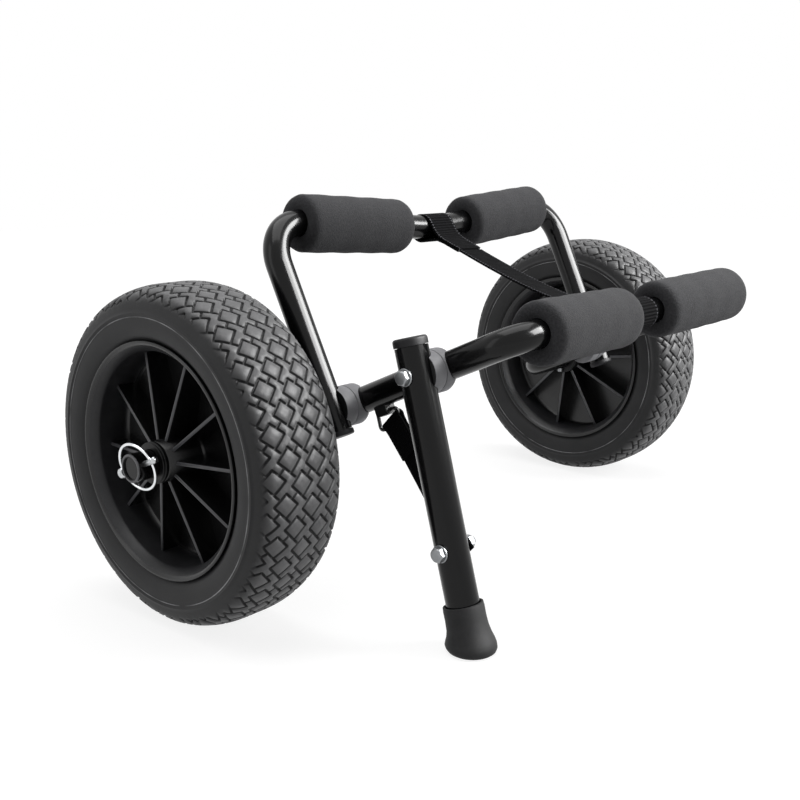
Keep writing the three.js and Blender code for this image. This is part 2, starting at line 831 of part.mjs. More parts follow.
// A single layer of webbing between two points.
function webbingRun(start, end, across, thickness, width) {
  const along = end.clone().sub(start).normalize();
  const half = across.clone().cross(along).multiplyScalar(thickness / 2);
  const outline = [
    start.clone().sub(half),
    end.clone().sub(half),
    end.clone().add(half),
    start.clone().add(half),
  ];
  return slab(outline, across, width);
}

function frameStrap() {
  const along = frontBarMiddle.clone().sub(rearBarMiddle).normalize();
  const tail = tubeRadius + fit + frameLoopWall + frameLoopTail + fit;
  const start = rearBarMiddle.clone().addScaledVector(along, tail);
  const end = frontBarMiddle.clone().addScaledVector(along, -tail);
  return webbingRun(start, end, xAxis, frameStrapThickness, frameStrapWidth);
}

// The kickstand strap runs from a wire ring under the left front leg to the lower bolt.
const legDown = xAxis.clone().cross(frontLegUp);
const strapBolt = onKickstand(kickBoltReach);
strapBolt.x = -(kickX - kickRadius - fit - kickStrapThickness / 2);
const strapBar = onFrontLeg(sides.left, strapBarReach).addScaledVector(legDown, strapBarDrop);
const strapFall = strapBolt.clone().sub(strapBar).setX(0).normalize();
const strapAcross = xAxis.clone().cross(strapFall);
const strapRingDrop = tubeRadius + strapClipWall + 2 * fit + strapRingWire;

function strapRingTop(reach) {
  return onFrontLeg(sides.left, strapRingReach + reach).addScaledVector(legDown, strapRingDrop);
}

function strapRing(wire) {
  const reach = kickStrapWidth / 2 + fit + strapRingWire + strapRingCorner;
  const rear = strapRingTop(-strapRingTopHalf);
  const front = strapRingTop(strapRingTopHalf);
  const lower = strapBar.clone().addScaledVector(strapAcross, reach);
  const upper = strapBar.clone().addScaledVector(strapAcross, -reach);
  const top = strapRingTop(0);
  const shift = rear.clone().sub(front).normalize().multiplyScalar(fit);
  const slide = lower.clone().sub(upper).normalize().multiplyScalar(fit);
  const bends = [strapRingCorner, strapRingCorner];
  const first = new BentPath([top.clone().sub(shift), rear, lower, strapBar.clone().sub(slide)], bends);
  const second = new BentPath([top.clone().add(shift), front, upper, strapBar.clone().add(slide)], bends);
  return solid(drawn(first, wire, wireSides)).add(solid(drawn(second, wire, wireSides)));
}

function strapClipStudAt(radius, extra) {
  const centre = strapRingTop(0);
  const root = centre.clone().addScaledVector(legDown, strapRingWire - strapRingDrop + tubeRadius);
  const tip = centre.clone().addScaledVector(legDown, -strapRingDrop + bore - strapClipStud - extra);
  return solid(bar(root, tip, radius, screwSides));
}

// The clip that holds the ring's top bar to the leg, with its stud through the tube's wall.
function strapClip() {
  const half = (strapRingWire + fit + strapClipWall) * 2;
  const centre = strapRingTop(0);
  const block = new THREE.BoxGeometry(strapClipWidth, half + strapRingWire, strapClipLength);
  const basis = new THREE.Matrix4().makeBasis(xAxis, legDown.clone().negate(), frontLegUp);
  block.translate(0, strapRingWire / 2, 0).applyMatrix4(basis.setPosition(centre));
  const body = solid(block).subtract(frontSeat).add(strapClipStudAt(boltRadius / 2, 0));
  return toGeometry(body.subtract(strapRing(strapRingWire + fit)));
}

function kickStrap() {
  const flatStart = strapBolt.clone().addScaledVector(strapFall, -kickStrapFlat);
  const flatEnd = strapBolt.clone().addScaledVector(strapFall, kickStrapEnd);
  const overlap = strapBar.clone().sub(flatStart).normalize().multiplyScalar(kickStrapThickness);
  const slopeEnd = flatStart.clone().sub(overlap);
  const slope = webbingRun(strapBar, slopeEnd, strapAcross, kickStrapThickness, kickStrapWidth);
  const flat = webbingRun(flatStart, flatEnd, strapAcross, kickStrapThickness, kickStrapWidth);
  const loop = webbingLoop({
    middle: strapBar,
    towards: flatStart,
    across: strapAcross,
    rod: strapRingWire,
    wall: kickStrapThickness,
    tail: kickLoopTail,
    thickness: kickStrapThickness,
    width: kickStrapWidth,
  });
  const strap = loop.add(solid(slope)).add(solid(flat)).subtract(strapRing(strapRingWire + fit));
  return toGeometry(strap.subtract(crossHole(strapBolt, boltHole)));
}

const group = new THREE.Group();

function add(name, geometry, material) {
  const mesh = new THREE.Mesh(geometry, material);
  mesh.name = name;
  group.add(mesh);
  return mesh;
}

function addBoltSet(name, side, outerFace, innerFace, at) {
  for (const [piece, geometry] of Object.entries(boltSet(side, outerFace, innerFace, at))) {
    add(`${name}_${piece}`, geometry, zinc);
  }
}

// A bolted crossing of two tubes: both halves of its saddle, and the bolt through them.
function addPivot(name, mount) {
  const outerFace = Math.abs(mount.outer.x) + mount.outerRadius;
  const innerFace = Math.abs(mount.inner.x) - tubeRadius;
  add(`${name}_saddle_outer`, saddleHalf(mount, true), darkPlastic);
  add(`${name}_saddle_inner`, saddleHalf(mount, false), darkPlastic);
  addBoltSet(name, Math.sign(mount.outer.x), outerFace, innerFace, mount.outer);
}

add('front_frame_tube', frontFrameTube(), paint);
add('rear_frame_tube', rearFrameTube(), paint);
add('kickstand_tube', kickTube(), paint);
add('kickstand_cap', kickCap(), darkPlastic);
add('kickstand_foot', kickFootBoot(), rubber);

for (const [word, side] of Object.entries(sides)) {
  const frontCorner = onFrontLeg(side, frontReach);
  const rearCorner = onRearLeg(side, rearReach);
  add(`front_pad_${word}`, foamPad(frontPadOuterX, frontPadInnerX, frontBarMiddle, frontCorner), foam);
  add(`rear_pad_${word}`, foamPad(rearPadOuterX, rearPadInnerX, rearBarMiddle, rearCorner), foam);
  add(`rear_leg_plug_${word}`, rearLegPlug(side), darkPlastic);
  add(`axle_plug_${word}`, axlePlug(side), blackPlastic);

  add(`tyre_${word}`, tyre(side), rubber);
  add(`rim_${word}`, rim(side, side < 0 ? leftRibTurn : rightRibTurn), rimPlastic);
  add(`hub_bush_outer_${word}`, hubBush(side, 1), blackPlastic);
  add(`hub_bush_inner_${word}`, hubBush(side, -1), blackPlastic);
  add(`wheel_washer_outer_${word}`, wheelWasher(side, 1), blackPlastic);
  add(`wheel_washer_inner_${word}`, wheelWasher(side, -1), blackPlastic);
  add(`axle_stop_pin_${word}`, stopPin(side), zinc);
  add(`lock_pin_${word}`, lockPin(side), zinc);
  add(`lock_ring_${word}`, lockRingAt(side, lockRingWire), zinc);

  addPivot(`pivot_${word}`, {
    outer: onRearLeg(side, 0),
    outerRadius: tubeRadius,
    outerSeat: rearSeat,
    inner: onFrontLeg(side, pivotReach),
  });
}

addPivot('kickstand_pivot', {
  outer: onKickstand(0),
  outerRadius: kickRadius,
  outerSeat: kickSeat,
  inner: onFrontLeg(sides.left, kickPivotReach),
});
const strapInnerFace = kickX - kickRadius - kickStrapThickness - fit;
addBoltSet('kickstand_lower', sides.left, kickX + kickRadius, strapInnerFace, strapBolt);

add('frame_strap_rear_loop', frameStrapLoop(rearBarMiddle, frontBarMiddle, rearSeat), webbing);
add('frame_strap_front_loop', frameStrapLoop(frontBarMiddle, rearBarMiddle, frontSeat), webbing);
add('frame_strap', frameStrap(), webbing);
add('strap_ring', toGeometry(strapRing(strapRingWire)), blackPlastic);
add('strap_ring_clip', strapClip(), blackPlastic);
add('kickstand_strap', kickStrap(), webbing);

// The origin is under the middle of the whole cart, on the ground.
const box = new THREE.Box3().setFromObject(group, true);
group.position.set(-(box.min.x + box.max.x) / 2, -(box.min.y + box.max.y) / 2, -box.min.z);

export default group;
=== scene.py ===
# Kayak cart: a folding frame of two bent tubes with foam pads, two solid-tyred wheels held by
# lock pins, a kickstand and two webbing straps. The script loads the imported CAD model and
# dresses it piece by piece, in metres, in the CAD model's own frame.
import bpy
import math
from mathutils import Matrix, Vector


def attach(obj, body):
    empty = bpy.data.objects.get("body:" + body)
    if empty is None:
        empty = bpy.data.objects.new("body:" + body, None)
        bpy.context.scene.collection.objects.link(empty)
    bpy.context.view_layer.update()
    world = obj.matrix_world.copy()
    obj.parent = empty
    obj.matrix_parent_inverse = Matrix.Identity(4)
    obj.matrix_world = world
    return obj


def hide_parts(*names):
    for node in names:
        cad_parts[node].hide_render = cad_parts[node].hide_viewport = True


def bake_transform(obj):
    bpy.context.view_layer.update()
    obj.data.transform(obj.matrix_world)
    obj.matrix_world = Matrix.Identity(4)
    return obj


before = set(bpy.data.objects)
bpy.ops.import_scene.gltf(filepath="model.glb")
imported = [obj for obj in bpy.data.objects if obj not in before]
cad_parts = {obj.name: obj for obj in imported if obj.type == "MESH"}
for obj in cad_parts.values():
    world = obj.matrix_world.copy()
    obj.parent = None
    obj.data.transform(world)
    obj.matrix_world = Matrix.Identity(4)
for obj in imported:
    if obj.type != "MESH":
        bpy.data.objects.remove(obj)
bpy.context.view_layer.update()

# Camera: eye height of a person crouching in front of the cart's left wheel, with a 47 mm lens.
# It is placed by its position, heading, tilt and slight roll.
mm = 0.001
camera_heading = math.radians(48.577)
camera_tilt = math.radians(12.146)
camera_roll = math.radians(-0.961)
camera_data = bpy.data.cameras.new("studio_camera")
camera_data.sensor_width = 36
camera_data.lens = 1047.9 / 800 * 36
camera_data.clip_start = 0.01
camera_data.clip_end = 60
camera = bpy.data.objects.new("studio_camera", camera_data)
bpy.context.scene.collection.objects.link(camera)
forward = Vector((
    math.sin(camera_heading) * math.cos(camera_tilt),
    math.cos(camera_heading) * math.cos(camera_tilt),
    -math.sin(camera_tilt),
))
level = Vector((math.cos(camera_heading), -math.sin(camera_heading), 0))
upward = level.cross(forward)
right = level * math.cos(camera_roll) + upward * math.sin(camera_roll)
top = upward * math.cos(camera_roll) - level * math.sin(camera_roll)
turn = Matrix((right, top, -forward)).transposed().to_4x4()
camera.matrix_world = Matrix.Translation(Vector((-734.16, -557.02, 327.02)) * mm) @ turn
bpy.context.scene.camera = camera
bpy.context.scene.view_settings.view_transform = "Standard"

# Studio: a white room with a large soft lamp above and smaller ones at the cart's right and left.
# A bright panel at the front right shows only in reflections: the long streaks on the tubes.
def add(tree, kind, inputs=None, **settings):
    """A node with its settings; inputs are values or the outputs that feed it."""
    made = tree.nodes.new(kind)
    for key, value in settings.items():
        setattr(made, key, value)
    for key, value in (inputs or {}).items():
        if isinstance(value, bpy.types.NodeSocket):
            tree.links.new(value, made.inputs[key])
        else:
            made.inputs[key].default_value = value
    return made


def blank(name):
    """A new material and its empty node tree."""
    made = bpy.data.materials.new(name)
    made.use_nodes = True
    made.node_tree.nodes.clear()
    return made, made.node_tree


room_light = 0.2
world = bpy.data.worlds.new("white_room")
bpy.context.scene.world = world
world.use_nodes = True
tree = world.node_tree
tree.nodes.clear()
seen_by = add(tree, "ShaderNodeLightPath")
shiny = add(tree, "ShaderNodeMath", {
    0: seen_by.outputs["Is Camera Ray"], 1: seen_by.outputs["Is Transmission Ray"]},
    operation="MAXIMUM")
shiny = add(tree, "ShaderNodeMath", {
    0: shiny.outputs[0], 1: seen_by.outputs["Is Glossy Ray"]}, operation="MAXIMUM")
dim = add(tree, "ShaderNodeBackground", {"Color": (1, 1, 1, 1), "Strength": room_light})
white = add(tree, "ShaderNodeBackground", {"Color": (1, 1, 1, 1), "Strength": 1.0})
both = add(tree, "ShaderNodeMixShader", {
    0: shiny.outputs[0], 1: dim.outputs[0], 2: white.outputs[0]})
add(tree, "ShaderNodeOutputWorld", {"Surface": both.outputs[0]})


def lamp(name, place, aim, width, height, watts):
    """A soft rectangular lamp, in metres and watts, turned to the point that it is aimed at."""
    data = bpy.data.lights.new(name, "AREA")
    data.shape = "RECTANGLE"
    data.size = width
    data.size_y = height
    data.energy = watts
    made = bpy.data.objects.new(name, data)
    bpy.context.scene.collection.objects.link(made)
    made.location = place
    made.rotation_euler = (Vector(aim) - Vector(place)).to_track_quat("-Z", "Y").to_euler()
    return made


lamp("overhead_softbox", (-0.1, 0.1, 1.7), (0, 0, 0.15), 1.5, 1.5, 21)
lamp("right_softbox", (0.75, -1.15, 0.85), (0, 0, 0.2), 0.45, 0.9, 14)
lamp("left_strip", (-1.35, 0.55, 0.7), (0, 0, 0.15), 0.5, 1.2, 2)
streak = lamp("reflected_panel", (0.5, -1.0, 0.93), (0, 0, 0.2), 1.45, 0.7, 100)
streak.visible_diffuse = False

bpy.ops.object.select_all(action="DESELECT")
bpy.ops.mesh.primitive_plane_add(size=12, location=(0, 0, 0))
floor = bpy.context.object
floor.name = "studio_floor"
pale, tree = blank("pale_painted_floor")
seen_by = add(tree, "ShaderNodeLightPath")
paint = add(tree, "ShaderNodeBsdfDiffuse", {"Color": (0.62, 0.62, 0.62, 1)})
where = add(tree, "ShaderNodeTexCoord")
distance = add(tree, "ShaderNodeVectorMath", {0: where.outputs["Object"]}, operation="LENGTH")
# Just under white below the cart, so that its shadow shows, and nearly the room's white far off.
fade = add(tree, "ShaderNodeMapRange", {
    "Value": distance.outputs["Value"], "From Min": 0.45, "From Max": 1.2, "To Min": 0.84,
    "To Max": 0.97})
bright = add(tree, "ShaderNodeEmission", {"Color": (1, 1, 1, 1), "Strength": fade.outputs[0]})
shiny = add(tree, "ShaderNodeMath", {
    0: seen_by.outputs["Is Camera Ray"], 1: seen_by.outputs["Is Glossy Ray"]}, operation="MAXIMUM")
soft = add(tree, "ShaderNodeBsdfDiffuse", {"Color": (0.26, 0.26, 0.26, 1)})
seen = add(tree, "ShaderNodeAddShader", {0: bright.outputs[0], 1: soft.outputs[0]})
both = add(tree, "ShaderNodeMixShader", {
    0: shiny.outputs[0], 1: paint.outputs[0], 2: seen.outputs[0]})
add(tree, "ShaderNodeOutputMaterial", {"Surface": both.outputs[0]})
floor.data.materials.append(pale)

# Front frame: one round steel tube, bent cold from the left axle end up the left leg, across
# under the hull and down to the right axle end. Gloss black powder coat with a faint orange peel.
def linear(code):
    """An sRGB hex colour as linear light."""
    parts = [int(code[i:i + 2], 16) / 255 for i in (1, 3, 5)]
    lit = [p / 12.92 if p <= 0.04045 else ((p + 0.055) / 1.055) ** 2.4 for p in parts]
    return (*lit, 1.0)


def finish(name, colour, second, roughness, grain, height, mottle, specular=0.5, **sockets):
    """A surface mottled between two colours, with a grain of that size and height in mm."""
    made, tree = blank(name)
    where = add(tree, "ShaderNodeTexCoord")
    clouds = add(tree, "ShaderNodeTexNoise", {
        "Vector": where.outputs["Object"], "Detail": 3.0, "Scale": 1 / (mottle * mm),
        "Roughness": 0.6})
    spread = add(tree, "ShaderNodeMapRange", {
        "Value": clouds.outputs[0], "From Min": 0.35, "From Max": 0.65})
    tint = add(tree, "ShaderNodeMix", {
        0: spread.outputs[0], 6: linear(colour), 7: linear(second)}, data_type="RGBA")
    specks = add(tree, "ShaderNodeTexNoise", {
        "Vector": where.outputs["Object"], "Detail": 2.0, "Scale": 1 / (grain * mm)})
    bump = add(tree, "ShaderNodeBump", {
        "Strength": 1.0, "Distance": height * mm, "Height": specks.outputs[0]})
    skin = add(tree, "ShaderNodeBsdfPrincipled", {
        "Base Color": tint.outputs[2], "Roughness": roughness, "Specular IOR Level": specular,
        "Normal": bump.outputs[0], **sockets})
    add(tree, "ShaderNodeOutputMaterial", {"Surface": skin.outputs[0]})
    return made


powder_coat = finish("gloss_black_powder_coat", "#070708", "#0b0b0c", 0.2, 1.6, 0.02, 30,
                     0.17, **{"Coat Weight": 0.08, "Coat Roughness": 0.05})
tube_radius = 10.4
axle_y = 58.449
wheel_radius = 127


def fresh():
    """Object mode with nothing selected, as every new primitive needs."""
    if bpy.context.object and bpy.context.object.mode != "OBJECT":
        bpy.ops.object.mode_set(mode="OBJECT")
    bpy.ops.object.select_all(action="DESELECT")


def applied():
    """The new primitive, with its place and turn put into its mesh."""
    bpy.ops.object.transform_apply(location=True, rotation=True, scale=True)
    return bpy.context.object


def edit_all():
    """Edit mode with the whole of the active object's mesh selected."""
    if bpy.context.object.mode != "EDIT":
        bpy.ops.object.mode_set(mode="EDIT")
    bpy.ops.mesh.select_all(action="SELECT")


def settle(name, material, angle=35):
    """The active object gets its name, finish, outward faces and shading."""
    made = bpy.context.object
    edit_all()
    bpy.ops.mesh.remove_doubles(threshold=2e-6)
    bpy.ops.mesh.normals_make_consistent(inside=False)
    bpy.ops.object.mode_set(mode="OBJECT")
    bpy.ops.object.shade_smooth_by_angle(angle=math.radians(angle))
    made.name = name
    made.data.name = name
    made.data.materials.clear()
    made.data.materials.append(material)
    return made


def stand_for(piece, body, node):
    """The piece rides on its body and takes the place of its CAD node."""
    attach(piece, body)
    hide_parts(node)


def bent_tube(corners, bends, radius):
    """A ring of wall is drawn straight to each bend and turned round it, as on a tube bender."""
    facets = 40
    corners = [Vector(c) * mm for c in corners]
    here = corners[0]
    along = (corners[1] - here).normalized()
    fresh()
    bpy.ops.mesh.primitive_circle_add(vertices=facets, radius=radius * mm, location=here,
                                      rotation=along.to_track_quat("Z", "X").to_euler())
    applied()
    edit_all()
    for corner, following, bend in zip(corners[1:], corners[2:], bends):
        before = (corner - here).normalized()
        after = (following - corner).normalized()
        angle = before.angle(after)
        reach = bend * mm * math.tan(angle / 2)
        start = corner - before * reach
        bpy.ops.mesh.extrude_region_move(TRANSFORM_OT_translate={"value": start - here})
        axis = before.cross(after).normalized()
        centre = start + axis.cross(before) * bend * mm
        steps = max(4, round(math.degrees(angle) / 5))
        bpy.ops.mesh.spin(steps=steps, angle=-angle, center=centre, axis=axis)
        here = corner + after * reach
    bpy.ops.mesh.extrude_region_move(TRANSFORM_OT_translate={"value": corners[-1] - here})
    bpy.ops.mesh.select_all(action="SELECT")
    bpy.ops.mesh.fill_holes(sides=facets + 1)
    return bpy.context.object


front_bar_middle = Vector((0, -155.70, 217.02))
front_corner = Vector((168, -163.72, 220.39))
axle_end = 324.4
leg_foot = 160
axle_bend, corner_bend, bar_bend = 30, 21, 130
bent_tube(
    [(-axle_end, axle_y, wheel_radius), (-leg_foot, axle_y, wheel_radius),
     (-front_corner.x, *front_corner.yz), front_bar_middle, front_corner,
     (leg_foot, axle_y, wheel_radius), (axle_end, axle_y, wheel_radius)],
    [axle_bend, corner_bend, bar_bend, corner_bend, axle_bend], tube_radius)
stand_for(settle("front_frame_steel", powder_coat), "front_frame", "front_frame_tube")

# Rear frame: a second tube of the same stock, bent to a U that stands inside the wheels.
# It hangs on one bolt through each front leg and carries the rear cross bar.
rear_bar_middle = Vector((0, 48.86, 280.03))
rear_corner = Vector((194, 54.76, 293.17))
rear_foot = Vector((189.5, -14.84, 138.29))
rear_bend = 32
bent_tube(
    [(-rear_foot.x, *rear_foot.yz), (-rear_corner.x, *rear_corner.yz), rear_bar_middle, rear_corner,
     rear_foot],
    [rear_bend, bar_bend, rear_bend], tube_radius)
stand_for(settle("rear_frame_steel", powder_coat), "rear_frame", "rear_frame_tube")

# Kickstand: a straight, slightly thicker tube on the left leg's outer side, which swings back.
# Same gloss powder coat as the frame.
kick_pivot = Vector((-192, -94.581, 191.328))
kick_up = Vector((0, math.sin(math.radians(14)), math.cos(math.radians(14))))
kick_radius = 12.1
kick_foot_reach = -197.185
kick_top_reach = 20
sole_thickness = 8.2
bent_tube([kick_pivot + kick_up * (kick_foot_reach + sole_thickness),
           kick_pivot + kick_up * kick_top_reach], [], kick_radius)
stand_for(settle("kickstand_steel", powder_coat), "kickstand", "kickstand_tube")

# Pads: closed-cell foam sleeves pushed over both halves of each cross bar, cut square and softly
# rounded by handling. The skin is matte and finely pored; its cells of 0.4 mm are drawn at
# 1.1 mm, as coarse as they need to show.
foam_skin = finish("closed_cell_foam", "#404042", "#353537", 0.93, 1.1, 0.55, 1.7,
                   0.12, **{"Sheen Weight": 0.05, "Sheen Roughness": 0.5})


def turned(profile, centre, axis, steps):
    """A profile of (along, out) in mm, spun round the axis through the centre."""
    axis = Vector(axis).normalized()
    out = axis.orthogonal().normalized()
    centre = Vector(centre) * mm
    points = [centre + (axis * along + out * reach) * mm for along, reach in profile]
    fresh()
    bpy.ops.mesh.primitive_plane_add(size=mm, location=points[0])
    applied()
    edit_all()
    bpy.ops.mesh.merge(type="CENTER")
    for here, onward in zip(points, points[1:]):
        bpy.ops.mesh.extrude_region_move(TRANSFORM_OT_translate={"value": onward - here})
    bpy.ops.mesh.select_all(action="SELECT")
    bpy.ops.mesh.spin(steps=steps, angle=2 * math.pi, center=centre, axis=axis)
    return bpy.context.object


def foam_sleeve(name, body, node, middle, corner, side, inner, outer):
    """A sleeve on one half of a bar between two X places, with a slightly uneven skin."""
    along = Vector((side * corner.x, corner.y, corner.z)) - middle
    along.normalize()
    start = inner / abs(along.x)
    end = outer / abs(along.x)
    runs = [start + 9 + (end - start - 18) * i / 16 for i in range(17)]
    profile = [(start + 0.9, 10.8), (start + 0.2, 13), (start, 16)]
    profile += [(start + 0.5, 19.6), (start + 2.0, 21.7), (start + 4.6, 22.8)]
    profile += [(run, 23.0 + 0.22 * math.sin(run * 0.21 + side + middle.y)) for run in runs]
    profile += [(end - 4.6, 22.8), (end - 2.0, 21.7), (end - 0.5, 19.6)]
    profile += [(end, 16), (end - 0.2, 13), (end - 0.9, 10.8), (start + 0.9, 10.8)]
    turned(profile, middle, along, 72)
    made = settle(name, foam_skin, 60)
    stand_for(made, body, node)


sides = (("left", -1), ("right", 1))
for word, side in sides:
    foam_sleeve(f"front_foam_{word}", "front_frame", f"front_pad_{word}", front_bar_middle,
                front_corner, side, 26, 147)
    foam_sleeve(f"rear_foam_{word}", "rear_frame", f"rear_pad_{word}", rear_bar_middle,
                rear_corner, side, 45, 160)

# Tyres: solid, puncture-free rubber with a moulded tread of square blocks and five-sided stones
# between narrow grooves at 45 degrees. The stones are painted a lighter grey than the grooves and
# sidewalls, partly scuffing and partly a painted highlight where light falls on them. The plain
# sidewalls have a thin rib, and along the mould line a thin pale painted highlight.
tyre_rubber, tree = blank("moulded_tyre_rubber")
where = add(tree, "ShaderNodeTexCoord")
scuff_and_light = add(tree, "ShaderNodeAttribute", attribute_name="tread_scuff_and_light")
clouds = add(tree, "ShaderNodeTexNoise", {
    "Vector": where.outputs["Object"], "Scale": 45.0, "Detail": 4.0})
dust = add(tree, "ShaderNodeMapRange", {
    "Value": clouds.outputs[0], "From Min": 0.3, "From Max": 0.7})
wall = add(tree, "ShaderNodeMix", {
    0: dust.outputs[0], 6: linear("#1e1e1f"), 7: linear("#252526")}, data_type="RGBA")
# Painted light: the stones' tops are lighter, partly scuffing and partly a painted highlight.
stone = add(tree, "ShaderNodeMix", {
    0: dust.outputs[0], 6: linear("#5a5a5b"), 7: linear("#666667")}, data_type="RGBA")
tint = add(tree, "ShaderNodeMix", {
    0: scuff_and_light.outputs["Fac"], 6: wall.outputs[2], 7: stone.outputs[2]}, data_type="RGBA")
around = add(tree, "ShaderNodeVectorMath", {
    0: where.outputs["Object"], 1: (0, 1, 1), 2: (0, -axle_y * mm, -wheel_radius * mm)},
    operation="MULTIPLY_ADD")
around = add(tree, "ShaderNodeVectorMath", {0: around.outputs[0]}, operation="LENGTH")
# A painted highlight: a thin pale line along the sidewall's mould line, patchy with the dust.
seam_radius, seam_half_width = 105.6, 0.35
painted_seam_highlight = add(tree, "ShaderNodeMath", {
    0: around.outputs["Value"], 1: seam_radius * mm, 2: seam_half_width * mm}, operation="COMPARE")
painted_seam_highlight = add(tree, "ShaderNodeMath", {0: painted_seam_highlight.outputs[0], 1: dust.outputs[0]}, operation="MULTIPLY")
tint = add(tree, "ShaderNodeMix", {
    0: painted_seam_highlight.outputs[0], 6: tint.outputs[2], 7: linear("#a4a4a6")}, data_type="RGBA")
pores = add(tree, "ShaderNodeTexNoise", {
    "Vector": where.outputs["Object"], "Scale": 900.0, "Detail": 2.0})
bump = add(tree, "ShaderNodeBump", {
    "Strength": 1.0, "Distance": 0.12 * mm, "Height": pores.outputs[0]})
skin = add(tree, "ShaderNodeBsdfPrincipled", {
    "Base Color": tint.outputs[2], "Roughness": 0.55, "Specular IOR Level": 0.26,
    "Normal": bump.outputs[0]})
add(tree, "ShaderNodeOutputMaterial", {"Surface": skin.outputs[0]})

# The tread is a grid of cells on the diagonal; each has mesh lines at its cuts, close together
# where a groove's floor and edge lie.
cells_round = 90
cell = 2 * math.pi * wheel_radius / cells_round / math.sqrt(2)
cuts = [0, 0.5, 0.85, 1.25, cell - 1.25, cell - 0.85, cell - 0.5]
groove_depth = 2.0
half_cells = 9
tread_start = 7.1
across = {(0, 0), (1, 0), (0, 2), (1, 2), (2, 2)}
upright = {(0, 0), (0, 1), (2, 0), (2, 1), (1, 2)}


def on_pattern(i, j):
    """The cell's place in the repeat of the tread, which steps three cells over and one up."""
    return i % 3, (j - i // 3) % 3


def groove_gap(i, j, u, v):
    """Distance in mm from a point of cell i, j to the nearest groove's middle."""
    nearest = 9.0
    for di in (-1, 0, 1):
        for dj in (-1, 0, 1):
            if on_pattern(i + di, j + dj) in across:
                over = max(di * cell - u, 0, u - (di + 1) * cell)
                nearest = min(nearest, math.hypot(over, v - dj * cell))
            if on_pattern(i + di, j + dj) in upright:
                over = max(dj * cell - v, 0, v - (dj + 1) * cell)
                nearest = min(nearest, math.hypot(over, u - di * cell))
    return nearest


def groove_share(gap):
    """How much of the groove's depth there is at that distance: its floor, its edge or none."""
    if gap <= 0.55:
        return 1.0
    return 0.3 if gap <= 0.95 else 0.0


parts = len(cuts)
shares = {}
for i in range(3):
    for j in range(3):
        for a in range(parts):
            for b in range(parts):
                shares[i, j, a, b] = groove_share(groove_gap(i, j, cuts[a], cuts[b]))

crown = [(0, 127), (12, 126.9), (21, 125.6), (30.5, 122), (35.2, 116), (37.5, 107), (37.3, 99),
         (35.8, 92.9)]
mirrored = [(-crown[1][0], crown[1][1])] + crown + [(35.4, 91.0)]
section = []
for p0, p1, p2, p3 in zip(mirrored, mirrored[1:], mirrored[2:], mirrored[3:]):
    for i in range(24):
        t = i / 24
        point = []
        for a, b, c, d in zip(p0, p1, p2, p3):
            point.append(0.5 * (2 * b + (c - a) * t + (2 * a - 5 * b + 4 * c - d) * t * t
                                + (3 * b - a - 3 * c + d) * t ** 3))
        section.append(tuple(point))
section.append(crown[-1])
arc = [0.0]
for p, q in zip(section, section[1:]):
    arc.append(arc[-1] + math.dist(p, q))


def on_section(reach):
    """The side, radius and outward direction of the tyre's outline at a distance from its crown."""
    sign = -1 if reach < 0 else 1
    reach = min(abs(reach), arc[-1])
    k = 1
    while arc[k] < reach and k < len(arc) - 1:
        k += 1
    t = (reach - arc[k - 1]) / (arc[k] - arc[k - 1])
    p, q = section[k - 1], section[k]
    ahead = (q[0] - p[0]) / math.dist(p, q), (q[1] - p[1]) / math.dist(p, q)
    return (sign * (p[0] + (q[0] - p[0]) * t), p[1] + (q[1] - p[1]) * t,
            sign * -ahead[1], ahead[0])


border = parts * half_cells
lap = parts * cells_round * 2
place_of = {}
points = []
scuffed_and_lit_points = []
for low in range(lap):
    for d in range(-border, border + 1):
        if (low + d) % 2:
            continue
        iu, iv = (low + d) // 2, (low - d) // 2
        u = iu // parts * cell + cuts[iu % parts]
        v = iv // parts * cell + cuts[iv % parts]
        reach = (u - v) / math.sqrt(2)
        i, j = on_pattern(iu // parts, iv // parts)
        share = shares[i, j, iu % parts, iv % parts]
        fade = min(1.0, max(0.0, (39.0 - abs(reach)) / 5.0))
        share *= fade * fade * (3 - 2 * fade)
        x, radius, nx, nr = on_section(reach)
        radius -= share * groove_depth * nr
        x -= share * groove_depth * nx
        angle = ((u + v) / math.sqrt(2) + tread_start) / wheel_radius
        place_of[iu, iv] = len(points)
        points.append((x, radius * math.cos(angle), radius * math.sin(angle)))
        # The stones' tops are painted lighter, partly scuffing and partly a painted highlight, less
        # so near the shoulders.
        scuffed_and_lit = 1.0 if share == 0 else 0.0
        scuffed_and_lit_points.append(scuffed_and_lit * min(1.0, max(0.0, (38.5 - abs(reach)) / 8.0)))


def spot(iu, iv):
    """The index of a grid point, taken once round the tyre where it passes the start."""
    while iu + iv >= lap:
        iu -= lap // 2
        iv -= lap // 2
    return place_of[iu, iv]


faces = []
for iu, iv in list(place_of):
    d = iu - iv
    if abs(d) < border:
        faces.append((spot(iu, iv), spot(iu + 1, iv), spot(iu + 1, iv + 1), spot(iu, iv + 1)))
    elif d == border:
        faces.append((spot(iu, iv), spot(iu + 1, iv + 1), spot(iu, iv + 1)))
    else:
        faces.append((spot(iu, iv), spot(iu + 1, iv), spot(iu + 1, iv + 1)))

